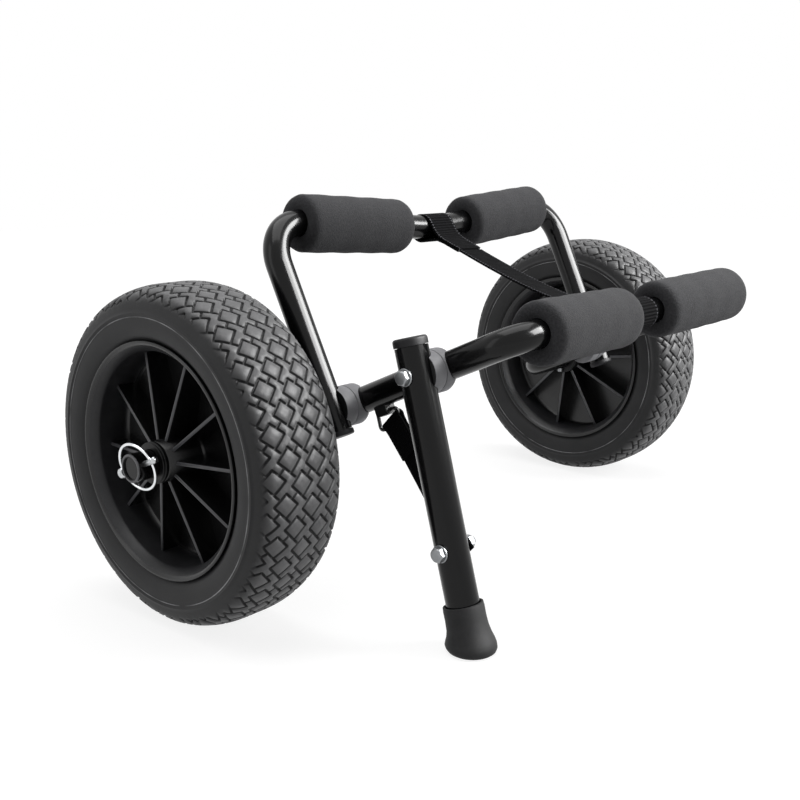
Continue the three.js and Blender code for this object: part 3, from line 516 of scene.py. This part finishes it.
rib_reach = next(a for a, p in zip(arc, section) if p[1] < 108.4 and p[0] > 30)
for sign in (-1, 1):
    edge = [(iu, iv) for iu, iv in place_of if iu - iv == sign * border]
    edge.sort(key=lambda key: key[0] + key[1])
    before = [place_of[key] for key in edge]
    angles = [math.atan2(points[k][2], points[k][1]) for k in before]
    rings = [(-3.2, 0), (-0.8, 0), (-0.35, 0.6), (0.35, 0.6), (0.8, 0), (5, 0), (10, 0)]
    rings = [(rib_reach + reach, proud) for reach, proud in rings] + [(arc[-1] - 0.4, 0)]
    outlines = []
    for reach, proud in rings:
        x, radius, nx, nr = on_section(sign * reach)
        outlines.append((x + nx * proud, radius + nr * proud))
    outlines += [(sign * 34.9, 91.6), (sign * 33.0, 89.0), (sign * 27.7, 83.9)]
    for x, radius in outlines:
        after = []
        for angle in angles:
            after.append(len(points))
            points.append((x, radius * math.cos(angle), radius * math.sin(angle)))
            scuffed_and_lit_points.append(0.0)
        for k in range(len(before)):
            n = (k + 1) % len(before)
            faces.append((before[k], before[n], after[n], after[k]))
        before = after
    if sign < 0:
        seat = before
    else:
        for k in range(len(before)):
            n = (k + 1) % len(before)
            faces.append((before[k], before[n], seat[n], seat[k]))


def pick(*pieces):
    """Only these pieces selected, the last of them active."""
    fresh()
    for piece in pieces:
        piece.select_set(True)
    bpy.context.view_layer.objects.active = pieces[-1]


track_half = 270
for word, side in sides:
    mesh = bpy.data.meshes.new(f"tyre_rubber_{word}")
    shift = Vector((side * track_half, axle_y, wheel_radius)) * mm
    mesh.from_pydata([Vector(p) * mm + shift for p in points], [], faces)
    mesh.attributes.new("tread_scuff_and_light", "FLOAT", "POINT").data.foreach_set("value", scuffed_and_lit_points)
    made = bpy.data.objects.new(mesh.name, mesh)
    bpy.context.scene.collection.objects.link(made)
    pick(made)
    settle(f"tyre_rubber_{word}", tyre_rubber, 85)
    stand_for(made, f"wheel_{word}", f"tyre_{word}")

# Rims: glossy black polypropylene mouldings, a barrel round a thin web with ten ribs each side.
# The barrel's inner wall is satin and painted mid-grey, a painted light where light falls on it.
# The lip is rolled over the tyre's bead, and the ribs' rounded edges are painted pale, a painted
# highlight.
rim_plastic = finish("glossy_polypropylene", "#0e0e0f", "#141415", 0.27, 2.4, 0.02, 25, 0.4)
# Painted light: the barrel's inner wall is painted mid-grey where light falls on it.
painted_light_barrel_plastic = finish("painted_light_satin_barrel", "#262628", "#1d1d1f", 0.42, 2.4, 0.02, 14,
                        0.35)
# Painted highlight: the ribs' side edges are painted pale.
rib_highlight_plastic = finish("painted_highlight_rib_edge", "#47474a", "#3e3e41", 0.4, 2.0, 0.02, 10)
hub_bore = 12.8
# Half of the rim's section: bore, hub, web, barrel, rolled lip and the seat of the tyre.
half = [(33.5, hub_bore), (33.5, 14.6), (32.6, 15.5), (4.0, 15.9), (2.6, 17.0), (2, 19.5),
        (2, 76.5), (3.2, 79.2), (6, 80.2), (26.5, 80.2), (28.6, 80.6), (34.0, 84.6), (35.6, 86.2),
        (35.9, 87.4), (35.5, 88.3), (34.6, 88.6), (33.4, 88.3), (28.3, 83.7), (26, 83.4)]
profile = half + [(-along, out) for along, out in reversed(half)]
rib_width, rib_length, rib_middle = 3, 66.4, 47.9
rib_half_at_hub, rib_half_at_rim = 28, 18


def repaint(piece, material, chosen):
    """A second finish on the faces whose centre in mm and normal are chosen."""
    piece.data.materials.append(material)
    last = len(piece.data.materials) - 1
    for face in piece.data.polygons:
        if chosen(face.center / mm, face.normal):
            face.material_index = last


for word, side, rib_turn in (("left", -1, -1.5), ("right", 1, -5.3)):
    centre = Vector((side * track_half, axle_y, wheel_radius))
    turned(profile + [profile[0]], centre, (1, 0, 0), 120)
    shell = settle(f"rim_shell_{word}", rim_plastic, 50)
    ribs = []
    for i in range(10):
        angle = math.radians(rib_turn + 36 * i)
        out = Vector((0, -math.cos(angle), -math.sin(angle)))
        fresh()
        bpy.ops.mesh.primitive_cube_add(size=1, location=(0, 0, 0))
        rib = bpy.context.object
        edit_all()
        bpy.ops.transform.resize(value=(rib_length * mm, rib_width * mm, rib_length * mm))
        bpy.ops.object.mode_set(mode="OBJECT")
        for vertex in rib.data.vertices:
            reach = rib_half_at_hub if vertex.co.z < 0 else rib_half_at_rim
            vertex.co.x = math.copysign(reach * mm, vertex.co.x)
        edit_all()
        bpy.ops.mesh.bevel(offset=1.2 * mm, segments=3, affect="EDGES")
        bpy.ops.object.mode_set(mode="OBJECT")
        bpy.ops.object.shade_smooth_by_angle(angle=math.radians(50))
        turn = Matrix((Vector((1, 0, 0)), out.cross(Vector((1, 0, 0))), out)).transposed().to_4x4()
        rib.data.transform(Matrix.Translation((centre + out * rib_middle) * mm) @ turn)
        ribs.append(rib)
    pick(*ribs, shell)
    bpy.ops.object.join()
    shell.data.materials.clear()
    shell.data.materials.append(rim_plastic)

    def from_axle(place):
        return math.hypot(place.y - centre.y, place.z - centre.z)

    repaint(shell, painted_light_barrel_plastic, lambda place, normal: 79.5 < from_axle(place) < 84 and
            abs(place.x - centre.x) < 33 and abs(normal.x) < 0.95)
    repaint(shell, rib_highlight_plastic, lambda place, normal: 17 < from_axle(place) < 80 and
            abs(place.x - centre.x) > 4.5 and abs(normal.x) > 0.6)
    stand_for(shell, f"wheel_{word}", f"rim_{word}")

# Hub bushes and wheel washers: turned black acetal with a dull sheen, pressed into the hub's ends
# and slid on the axle, so that the wheel runs on plastic and not on the tube's paint.
acetal = finish("turned_black_acetal", "#070708", "#0c0c0d", 0.34, 0.9, 0.03, 12, 0.22)
bore = 10.75
for word, side in sides:
    for face_name, face in (("outer", 1), ("inner", -1)):
        inward = Vector((side * face, 0, 0))
        seat = Vector((side * (track_half + face * 33.5), axle_y, wheel_radius))
        turned([(-25, bore), (2.4, bore), (3.0, 11.4), (3.0, 14.4), (2.1, 15.5), (0.3, 15.5),
                (0.3, 12.5), (-25, 12.5), (-25, bore)], seat, inward, 64)
        stand_for(settle(f"hub_bush_{face_name}_acetal_{word}", acetal), f"wheel_{word}",
                  f"hub_bush_{face_name}_{word}")
        turned([(3.3, bore), (4.8, bore), (4.8, 14.9), (4.3, 15.4), (3.8, 15.4), (3.3, 14.9),
                (3.3, bore)], seat, inward, 64)
        stand_for(settle(f"axle_washer_{face_name}_{word}", acetal), "front_frame",
                  f"wheel_washer_{face_name}_{word}")

# Axle ends: a dished black plug in each end of the tube, its lip painted grey, partly scuffing and
# partly a painted highlight, and a bright zinc-plated stop pin pressed through the axle inside each
# wheel, which can't slide in past it.
zinc_plate = finish("bright_zinc_plate", "#949698", "#828486", 0.4, 0.8, 0.02, 6, Metallic=1.0)
lip_scuff_and_highlight = finish("scuffed_and_highlight_plug_lip", "#5e5e61", "#4c4c4f", 0.45, 0.8, 0.03, 5)
for word, side in sides:
    end = Vector((side * axle_end, axle_y, wheel_radius))
    turned([(-2.1, 0), (-2.1, 8.2), (0.3, 8.2), (0.3, 10.4), (1.1, 10.4), (1.4, 10.0), (1.4, 8.9),
            (1.0, 8.4), (-1.0, 8.0), (-1.2, 7.4), (-1.2, 0)], end, (side, 0, 0), 56)
    plug = settle(f"axle_end_plug_{word}", acetal)
    # The plug's lip is painted grey: partly scuffing, partly a painted highlight.
    repaint(plug, lip_scuff_and_highlight, lambda place, normal: side * (place.x - end.x) > 0.25 and
            math.hypot(place.y - end.y, place.z - end.z) > 8.7)
    stand_for(plug, "front_frame", f"axle_plug_{word}")
    pin = Vector((side * 229.4, axle_y, wheel_radius))
    turned([(-14.4, 0), (-14.4, 1.8), (-13.7, 2.5), (13.7, 2.5), (14.4, 1.8), (14.4, 0)],
           pin, (0, 0, 1), 24)
    stand_for(settle(f"stop_pin_steel_{word}", zinc_plate), "front_frame",
              f"axle_stop_pin_{word}")

# Lock pins: a bright plated steel pin with a turned knob, pushed through the axle outside the
# wheel, and the polished wire ring that snaps over the axle's end and keeps the pin in.
pin_steel = finish("turned_pin_steel", "#c6c8ca", "#b4b6b8", 0.24, 0.8, 0.02, 6, Metallic=1.0)
spring_wire = finish("polished_spring_wire", "#e6e8ea", "#dcdee0", 0.14, 3.0, 0.004, 8,
                     Metallic=1.0)
pin_lean = math.radians(22.3)
pin_axis = Vector((0, -math.cos(pin_lean), math.sin(pin_lean)))
ring_radius, wire_radius, ring_tilt = 17.8, 1.15, 14
for word, side in sides:
    centre = Vector((side * 319.4, axle_y, wheel_radius))
    turned([(-21.5, 0), (-21.5, 3.0), (-20.6, 4.2), (-17.6, 4.2), (-16.6, 3.4), (-16.5, 2.4),
            (20.4, 2.4), (20.9, 1.9), (21.3, 1.9), (22.0, 2.6), (23.4, 2.6), (24.3, 1.6),
            (24.5, 0)], centre, pin_axis, 32)
    stand_for(settle(f"lock_pin_steel_{word}", pin_steel), f"lock_{word}",
              f"lock_pin_{word}")
    fresh()
    bpy.ops.mesh.primitive_torus_add(major_radius=ring_radius * mm, minor_radius=wire_radius * mm,
                                     major_segments=72, minor_segments=14, location=(0, 0, 0))
    sideways = Vector((1, 0, 0))
    turn = Matrix((pin_axis, sideways.cross(pin_axis), sideways)).transposed().to_4x4()
    tilt = Matrix.Rotation(math.radians(-side * ring_tilt), 4, pin_axis)
    bpy.context.object.data.transform(Matrix.Translation(centre * mm) @ tilt @ turn)
    stand_for(settle(f"lock_ring_wire_{word}", spring_wire, 80), f"lock_{word}",
              f"lock_ring_{word}")

# Saddles: moulded nylon bosses between the crossing tubes, two halves at each pivot, hollowed to
# the tubes so that the bolt can't crush them. Satin grey; the outer one's end face is painted
# black, a painted shade where the hollow of its seat lies in shadow.
nylon = finish("moulded_grey_nylon", "#88888b", "#7c7c7f", 0.6, 0.8, 0.05, 14, 0.25)
painted_shade_nylon = finish("painted_shade_black_nylon", "#0c0c0d", "#121213", 0.5, 0.8, 0.05, 14, 0.2)
front_leg_up = Vector((0, -0.921863, 0.387516))
rear_leg_up = Vector((0, 0.409923, 0.912120))
leg_pivot = Vector((189.98, -7.465, 154.707))
rear_leg_run = Vector((0.0265, *rear_leg_up.yz))
front_leg_run = Vector((0.0332, *front_leg_up.yz))
mounts = {
    "pivot_left": (-1, "rear_frame", leg_pivot, rear_leg_run, tube_radius, 162.37),
    "pivot_right": (1, "rear_frame", leg_pivot, rear_leg_run, tube_radius, 162.37),
    "kickstand_pivot": (-1, "kickstand", Vector((-kick_pivot.x, *kick_pivot.yz)), kick_up,
                        kick_radius, 165.51),
}
boss_radius = 16


def soften(piece, width, angle=30):
    """The piece's edges that turn more than the angle, bevelled by a width in mm."""
    bevel = piece.modifiers.new("edge", "BEVEL")
    bevel.width = width * mm
    bevel.segments = 2
    bevel.limit_method = "ANGLE"
    bevel.angle_limit = math.radians(angle)
    bpy.ops.object.modifier_apply(modifier=bevel.name)


def carve(piece, tool, operation):
    """The piece cut by another, which goes."""
    pick(piece)
    cut = piece.modifiers.new("cut", "BOOLEAN")
    cut.object = tool
    cut.operation = operation
    cut.solver = "EXACT"
    bpy.ops.object.modifier_apply(modifier=cut.name)
    bpy.data.objects.remove(tool)


def saddle_half(name, material, side, start, end, at, seat_x, seat_along, seat_radius):
    """A round boss between two X places, with a tube's shape taken out of it."""
    fresh()
    middle = Vector((side * (start + end) / 2, at.y, at.z)) * mm
    bpy.ops.mesh.primitive_cylinder_add(vertices=56, radius=boss_radius * mm, location=middle,
                                        depth=abs(end - start) * mm, rotation=(0, math.pi / 2, 0))
    boss = applied()
    soften(boss, 0.9)
    along = Vector((side * seat_along.x, seat_along.y, seat_along.z)).normalized()
    fresh()
    bpy.ops.mesh.primitive_cylinder_add(vertices=56, radius=(seat_radius + 0.3) * mm, depth=80 * mm,
                                        location=Vector((side * seat_x, at.y, at.z)) * mm,
                                        rotation=along.to_track_quat("Z", "X").to_euler())
    carve(boss, applied(), "DIFFERENCE")
    return settle(name, material)


for name, (side, body, at, outer_along, outer_radius, inner_x) in mounts.items():
    split = (at.x - outer_radius + inner_x + tube_radius) / 2
    # The outer half is painted near-black as a painted shade, then its round side is painted back
    # grey.
    outer_half = saddle_half(f"{name}_nylon_outer", painted_shade_nylon, side, split + 0.15,
                             at.x - outer_radius * 0.14, at, at.x, outer_along, outer_radius)
    repaint(outer_half, nylon, lambda place, normal: abs(normal.x) < 0.9 and
            math.hypot(place.y - at.y, place.z - at.z) > 14.8)
    stand_for(outer_half, body, f"{name}_saddle_outer")
    inner_half = saddle_half(f"{name}_nylon_inner", nylon, side, inner_x + tube_radius * 0.14,
                             split - 0.15, at, inner_x, front_leg_run, tube_radius)
    stand_for(inner_half, "front_frame", f"{name}_saddle_inner")

# Bolts: bright zinc-plated M6 hexagon bolts with a washer under head and nut, through both tubes
# at each pivot and through the kickstand and its strap below.
hexagon_radius, shank_radius, thread_root, thread_pitch = 5.77, 3.0, 2.55, 0.9
head_height, nut_height = 4, 5


def hexagon(name, side, start, height, at, chamfered):
    """A bolt's head or nut, its corners turned off on the side that chamfered points to."""
    middle = Vector((side * (start + height / 2), at.y, at.z)) * mm
    fresh()
    bpy.ops.mesh.primitive_cylinder_add(vertices=6, radius=hexagon_radius * mm, location=middle,
                                        depth=height * mm, rotation=(0, math.pi / 2, 0))
    made = applied()
    fresh()
    bpy.ops.mesh.primitive_cone_add(vertices=48, radius1=8.2 * mm, radius2=4.5 * mm,
                                    depth=(height + 0.02) * mm, location=middle,
                                    rotation=(0, math.copysign(math.pi / 2, chamfered * side), 0))
    carve(made, applied(), "INTERSECT")
    soften(made, 0.25)
    return settle(name, zinc_plate, 25)


bolts = {
    "pivot_left": (-1, "front_frame", 200.38, 151.97, leg_pivot),
    "pivot_right": (1, "front_frame", 200.38, 151.97, leg_pivot),
    "kickstand_pivot": (-1, "front_frame", 204.1, 155.11, kick_pivot),
    "kickstand_lower": (-1, "kickstand", 204.1, 178.0, Vector((0, -124.58, 71))),
}
for name, (side, body, outer_face, inner_face, at) in bolts.items():
    head = hexagon(f"{name}_bolt_head", side, outer_face + 1.9, head_height, at, 1)
    tail = inner_face - 9.9
    reach = outer_face + 3 - tail
    profile = [(0, 0), (0, 2.4), (0.5, shank_radius)]
    for k in range(12):
        profile += [(0.9 + k * thread_pitch, thread_root), (1.35 + k * thread_pitch, shank_radius)]
    profile += [(reach, shank_radius), (reach, 0)]
    turned(profile, Vector((side * tail, at.y, at.z)), (side, 0, 0), 24)
    pick(settle(f"{name}_bolt_thread", zinc_plate, 25), head)
    bpy.ops.object.join()
    head.name = f"{name}_bolt_steel"
    stand_for(head, body, f"{name}_bolt")
    nut = hexagon(f"{name}_nut_steel", side, inner_face - 6.9, nut_height, at, -1)
    stand_for(nut, body, f"{name}_nut")
    for place, start in (("outer", outer_face + 0.3), ("inner", inner_face - 1.6)):
        turned([(0, 3.3), (0, 5.9), (0.3, 6.3), (1.0, 6.3), (1.3, 5.9), (1.3, 3.3), (0, 3.3)],
               Vector((side * start, at.y, at.z)), (side, 0, 0), 48)
        stand_for(settle(f"{name}_{place}_washer_steel", zinc_plate), body,
                  f"{name}_{place}_washer")

# Tube plugs: satin dark grey polyethylene, pushed into the lower ends of the rear legs and the
# top of the kickstand. Each has a stem in the bore and a domed flange over the tube's wall.
plug_plastic = finish("moulded_grey_polyethylene", "#1d1d1f", "#171719", 0.5, 0.9, 0.05, 9, 0.2)


def rounded(points, radius, steps):
    """The profile with its inner corners rounded, where the sides are long enough."""
    made = [Vector(points[0])]
    for before, corner, after in zip(points, points[1:], points[2:]):
        corner = Vector(corner)
        back = Vector(before) - corner
        onward = Vector(after) - corner
        cut = min(radius, back.length * 0.45, onward.length * 0.45)
        first = corner + back.normalized() * cut
        last = corner + onward.normalized() * cut
        for i in range(steps + 1):
            t = i / steps
            made.append(first * (1 - t) ** 2 + corner * 2 * t * (1 - t) + last * t * t)
    made.append(Vector(points[-1]))
    return [tuple(p) for p in made]


for word, side in sides:
    end = Vector((side * rear_foot.x, *rear_foot.yz))
    outline = [(-14, 0), (-14, 8.2), (0.3, 8.2), (0.3, 11.02), (4.3, 11.02), (4.3, 0)]
    profile = rounded(outline[:3], 0.1, 1) + rounded(outline[3:], 1.6, 4)
    turned(profile, end, -rear_leg_up, 56)
    stand_for(settle(f"leg_plug_moulding_{word}", plug_plastic), "rear_frame",
              f"rear_leg_plug_{word}")
outline = [(0.3, 12.46), (6.5, 12.46), (6.5, 0)]
profile = [(-14, 0), (-14, 10.0), (0.3, 10.0)] + rounded(outline, 2.6, 6)
turned(profile, kick_pivot + kick_up * kick_top_reach, kick_up, 64)
stand_for(settle("kickstand_cap_moulding", plug_plastic), "kickstand",
          "kickstand_cap")

# Foot: a matte black rubber boot pushed over the kickstand's end, a little loose at its collar
# and flared below to a flat sole that lies on the ground.
boot_rubber = finish("matte_boot_rubber", "#1d1d1e", "#252526", 0.62, 0.7, 0.08, 9, 0.22)
lean = math.radians(14)
foot_point = kick_pivot + kick_up * kick_foot_reach
# Each ring: its reach from the ground, its radius and how far it has turned level with it.
rings = [(22, 12.25, 0), (33.0, 12.6, 0), (34.0, 13.3, 0), (33.7, 14.5, 0), (30.5, 14.8, 0),
         (24, 14.7, 0), (17, 15.1, 0), (12, 16.2, 0.25), (8.4, 17.6, 0.5), (5.6, 18.4, 0.75),
         (3.2, 18.3, 1), (1.3, 17.2, 1), (0.4, 15.8, 1), (0.0, 14.2, 1)]
fresh()
first = foot_point + kick_up * rings[0][0]
bpy.ops.mesh.primitive_circle_add(vertices=56, radius=rings[0][1] * mm, location=first * mm,
                                  rotation=kick_up.to_track_quat("Z", "X").to_euler())
applied()
edit_all()
for (reach, radius, level_share), (onward, wider, next_share) in zip(rings, rings[1:]):
    here = (foot_point + kick_up * reach) * mm
    there = (foot_point + kick_up * onward) * mm
    bpy.ops.mesh.extrude_region_move(TRANSFORM_OT_translate={"value": there - here})
    bpy.ops.transform.resize(value=(wider / radius,) * 3, center_override=there)
    if next_share > level_share:
        bpy.ops.transform.rotate(value=-lean * (next_share - level_share), orient_axis="X",
                                 center_override=there)
bpy.ops.mesh.edge_face_add()
stand_for(settle("kickstand_boot", boot_rubber, 50), "kickstand", "kickstand_foot")

# Frame strap: 31 mm woven black polypropylene webbing, folded round each cross bar and sewn
# back on itself, hanging a little slack between them. It keeps the open frame from spreading.
# Its cross ribs and its stitches are drawn coarser than real ones, so that they show.
warp_pitch, stitch_pitch, stitch_length = 1.5, 2.8, 1.5


def woven(name, colour, rib_pitch, rib_height, stitch_rows, stitch_colour):
    """Webbing by its own UV map, in metres across and along, with sewn rows and cross ribs whose
    tops are painted lighter, a painted highlight.
    """
    made, tree = blank(name)
    flat = add(tree, "ShaderNodeUVMap", uv_map="cloth")
    split = add(tree, "ShaderNodeSeparateXYZ", {0: flat.outputs[0]})
    ribs = add(tree, "ShaderNodeMath", {
        0: split.outputs[1], 1: 2 * math.pi / (rib_pitch * mm)}, operation="MULTIPLY")
    ribs = add(tree, "ShaderNodeMath", {0: ribs.outputs[0]}, operation="SINE")
    warp = add(tree, "ShaderNodeMath", {
        0: split.outputs[0], 1: 2 * math.pi / (warp_pitch * mm)}, operation="MULTIPLY")
    warp = add(tree, "ShaderNodeMath", {0: warp.outputs[0]}, operation="SINE")
    weave = add(tree, "ShaderNodeMath", {
        0: warp.outputs[0], 1: 0.35, 2: ribs.outputs[0]}, operation="MULTIPLY_ADD")
    spread = add(tree, "ShaderNodeMapRange", {
        "Value": weave.outputs[0], "From Min": -1.3, "From Max": 1.3})
    # Painted light: the raised ribs are painted lighter and the hollows between them darker.
    tint = add(tree, "ShaderNodeMix", {
        0: spread.outputs[0], 6: linear(colour[0]), 7: linear(colour[1])}, data_type="RGBA")
    colour_out = tint.outputs[2]
    dash = add(tree, "ShaderNodeMath", {
        0: split.outputs[1], 1: stitch_pitch * mm}, operation="MODULO")
    dash = add(tree, "ShaderNodeMath", {
        0: dash.outputs[0], 1: stitch_length * mm}, operation="LESS_THAN")
    for row in stitch_rows:
        gap = add(tree, "ShaderNodeMath", {
            0: split.outputs[0], 1: row * mm, 2: 0.8 * mm}, operation="COMPARE")
        sewn = add(tree, "ShaderNodeMath", {
            0: gap.outputs[0], 1: dash.outputs[0]}, operation="MULTIPLY")
        tint = add(tree, "ShaderNodeMix", {
            0: sewn.outputs[0], 6: colour_out, 7: linear(stitch_colour)}, data_type="RGBA")
        colour_out = tint.outputs[2]
    bump = add(tree, "ShaderNodeBump", {
        "Strength": 0.8, "Distance": rib_height * mm, "Height": weave.outputs[0]})
    skin = add(tree, "ShaderNodeBsdfPrincipled", {
        "Base Color": colour_out, "Roughness": 0.85, "Specular IOR Level": 0.03,
        "Normal": bump.outputs[0]})
    add(tree, "ShaderNodeOutputMaterial", {"Surface": skin.outputs[0]})
    return made


frame_webbing = woven("black_polypropylene_webbing", ("#030304", "#202022"), 2.6, 0.9, (-14, 14),
                      "#606064")


def strap(name, line, across, width, thickness, material, columns=8, taper=0, tip=1):
    """A band of webbing along a line in mm, lying as across says at each of its points.
    Over its last part, as long as taper, it narrows to the share tip of its width."""
    line = [Vector(p) for p in line]
    run = [0.0]
    for p, q in zip(line, line[1:]):
        run.append(run[-1] + (q - p).length)
    points = []
    for p, gone in zip(line, run):
        near = max(0, 1 - (run[-1] - gone) / taper) if taper else 0
        here = width * (1 + (tip - 1) * min(1, near * 2.2))
        aside = across(p).normalized() * here
        for c in range(columns + 1):
            points.append((p + aside * (c / columns - 0.5)) * mm)
    wide = columns + 1
    faces = []
    for r in range(len(line) - 1):
        for c in range(columns):
            k = r * wide + c
            faces.append((k, k + 1, k + wide + 1, k + wide))
    mesh = bpy.data.meshes.new(name)
    mesh.from_pydata(points, [], faces)
    cloth = mesh.uv_layers.new(name="cloth")
    for loop in mesh.loops:
        r, c = divmod(loop.vertex_index, wide)
        cloth.data[loop.index].uv = (width * (c / columns - 0.5) * mm, run[r] * mm)
    made = bpy.data.objects.new(name, mesh)
    bpy.context.scene.collection.objects.link(made)
    pick(made)
    thick = made.modifiers.new("thickness", "SOLIDIFY")
    thick.thickness = thickness * mm
    thick.offset = 0
    thick.use_even_offset = True
    bpy.ops.object.modifier_apply(modifier=thick.name)
    soften(made, 0.4, 60)
    bpy.ops.object.shade_smooth_by_angle(angle=math.radians(45))
    mesh.materials.append(material)
    return made, run[-1]


layer = 1.8
sewn_length = 34


def loop_line(middle, towards):
    """The line of webbing that comes along, goes round a bar and back on the other side."""
    along = (towards - middle).normalized()
    up = Vector((1, 0, 0)).cross(along)
    round_radius = tube_radius + 0.3 + layer / 2
    far = round_radius + sewn_length
    lift = layer / 2 + 0.05
    points = [middle + along * far - up * lift, middle + along * (far - 4) - up * lift]
    points += [middle + along * (round_radius + 9) - up * (lift + 0.7)]
    start = math.radians(52)
    for i in range(33):
        angle = -start - (2 * math.pi - 2 * start) * i / 32
        points.append(middle + (along * math.cos(angle) + up * math.sin(angle)) * round_radius)
    points += [middle + along * (round_radius + 9) + up * (lift + 0.7)]
    points += [middle + along * (far - 4) + up * lift, middle + along * far + up * lift]
    return points


def smoothed(points, parts=3):
    """The same line with its corners eased by a curve through every point."""
    ends = [points[0] * 2 - points[1]] + list(points) + [points[-1] * 2 - points[-2]]
    made = []
    for p0, p1, p2, p3 in zip(ends, ends[1:], ends[2:], ends[3:]):
        for i in range(parts):
            t = i / parts
            made.append(0.5 * (2 * p1 + (p2 - p0) * t + (2 * p0 - 5 * p1 + 4 * p2 - p3) * t * t
                               + (3 * p1 - p0 - 3 * p2 + p3) * t ** 3))
    return made + [points[-1]]


strap_width = 31
sag_middle = (rear_bar_middle + front_bar_middle) / 2 + Vector((0, -20, -22))


def leaning(point):
    """The webbing's width: along the bars, and 2 degrees off them away from either bar."""
    gone = min((point - rear_bar_middle).length, (point - front_bar_middle).length)
    return Vector((1, 0, -0.04 * max(0, min(1, (gone - 18) / 34))))


for end_name, middle, body in (("rear", rear_bar_middle, "rear_frame"),
                               ("front", front_bar_middle, "front_frame")):
    line = smoothed(loop_line(middle, sag_middle))
    made, length = strap(f"frame_strap_{end_name}_fold", line, leaning, strap_width, 1.7,
                         frame_webbing)
    stand_for(made, body, f"frame_strap_{end_name}_loop")
tail = tube_radius + 0.3 + 2.2 + sewn_length + 0.3
start = rear_bar_middle + (sag_middle - rear_bar_middle).normalized() * tail
end = front_bar_middle + (sag_middle - front_bar_middle).normalized() * tail
line = []
for i in range(37):
    t = i / 36
    line.append(start.lerp(sag_middle, t).lerp(sag_middle.lerp(end, t), t))
made, length = strap("frame_strap_run", line, leaning, strap_width, 1.7, frame_webbing)
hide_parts("frame_strap")
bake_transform(made)

# Kickstand strap: 20 mm dense black webbing, looped through the ring under the left leg and
# bolted to the kickstand. It stops the kickstand from swinging too far and goes slack folded.
kick_webbing = woven("dense_black_webbing", ("#050506", "#0d0d0e"), 1.6, 0.12, (-8, 8), "#161617")
strap_bar = Vector((-163.5, -46.3, 147.1))
strap_bolt = Vector((-178.8, -124.58, 71))
fall = Vector((0, strap_bolt.y - strap_bar.y, strap_bolt.z - strap_bar.z)).normalized()
wide = Vector((1, 0, 0)).cross(fall)
flat_start = strap_bolt - fall * 15
slope = (flat_start - strap_bar).normalized()
side_out = wide.cross(slope)
line = []
for i in range(13):
    angle = math.radians(60 + 240 * i / 12)
    line.append(strap_bar + (slope * math.cos(angle) + side_out * math.sin(angle)) * 2.7)
line = [strap_bar + slope * 31 + side_out * 0.9, strap_bar + slope * 8 + side_out * 1.4] + line
line += [strap_bar + slope * 8 - side_out * 1.4, strap_bar + slope * 30 - side_out * 0.8]
line += [flat_start, strap_bolt - fall * 5, strap_bolt + fall * 7]
made, length = strap("kickstand_strap_webbing", smoothed(line, 5), lambda point: wide, 20, 1.6,
                     kick_webbing, 6, 42, 0.6)
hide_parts("kickstand_strap")
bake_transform(made)

# Slide ring and clip: black acetal under the left front leg, which hold the kickstand strap.
# Their CAD shapes stay and take a satin moulded finish.
slide_plastic = finish("black_moulded_acetal", "#101011", "#161617", 0.42, 0.8, 0.04, 8)
for name in ("strap_ring", "strap_ring_clip"):
    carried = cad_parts[name]
    carried.data.materials.clear()
    carried.data.materials.append(slide_plastic)
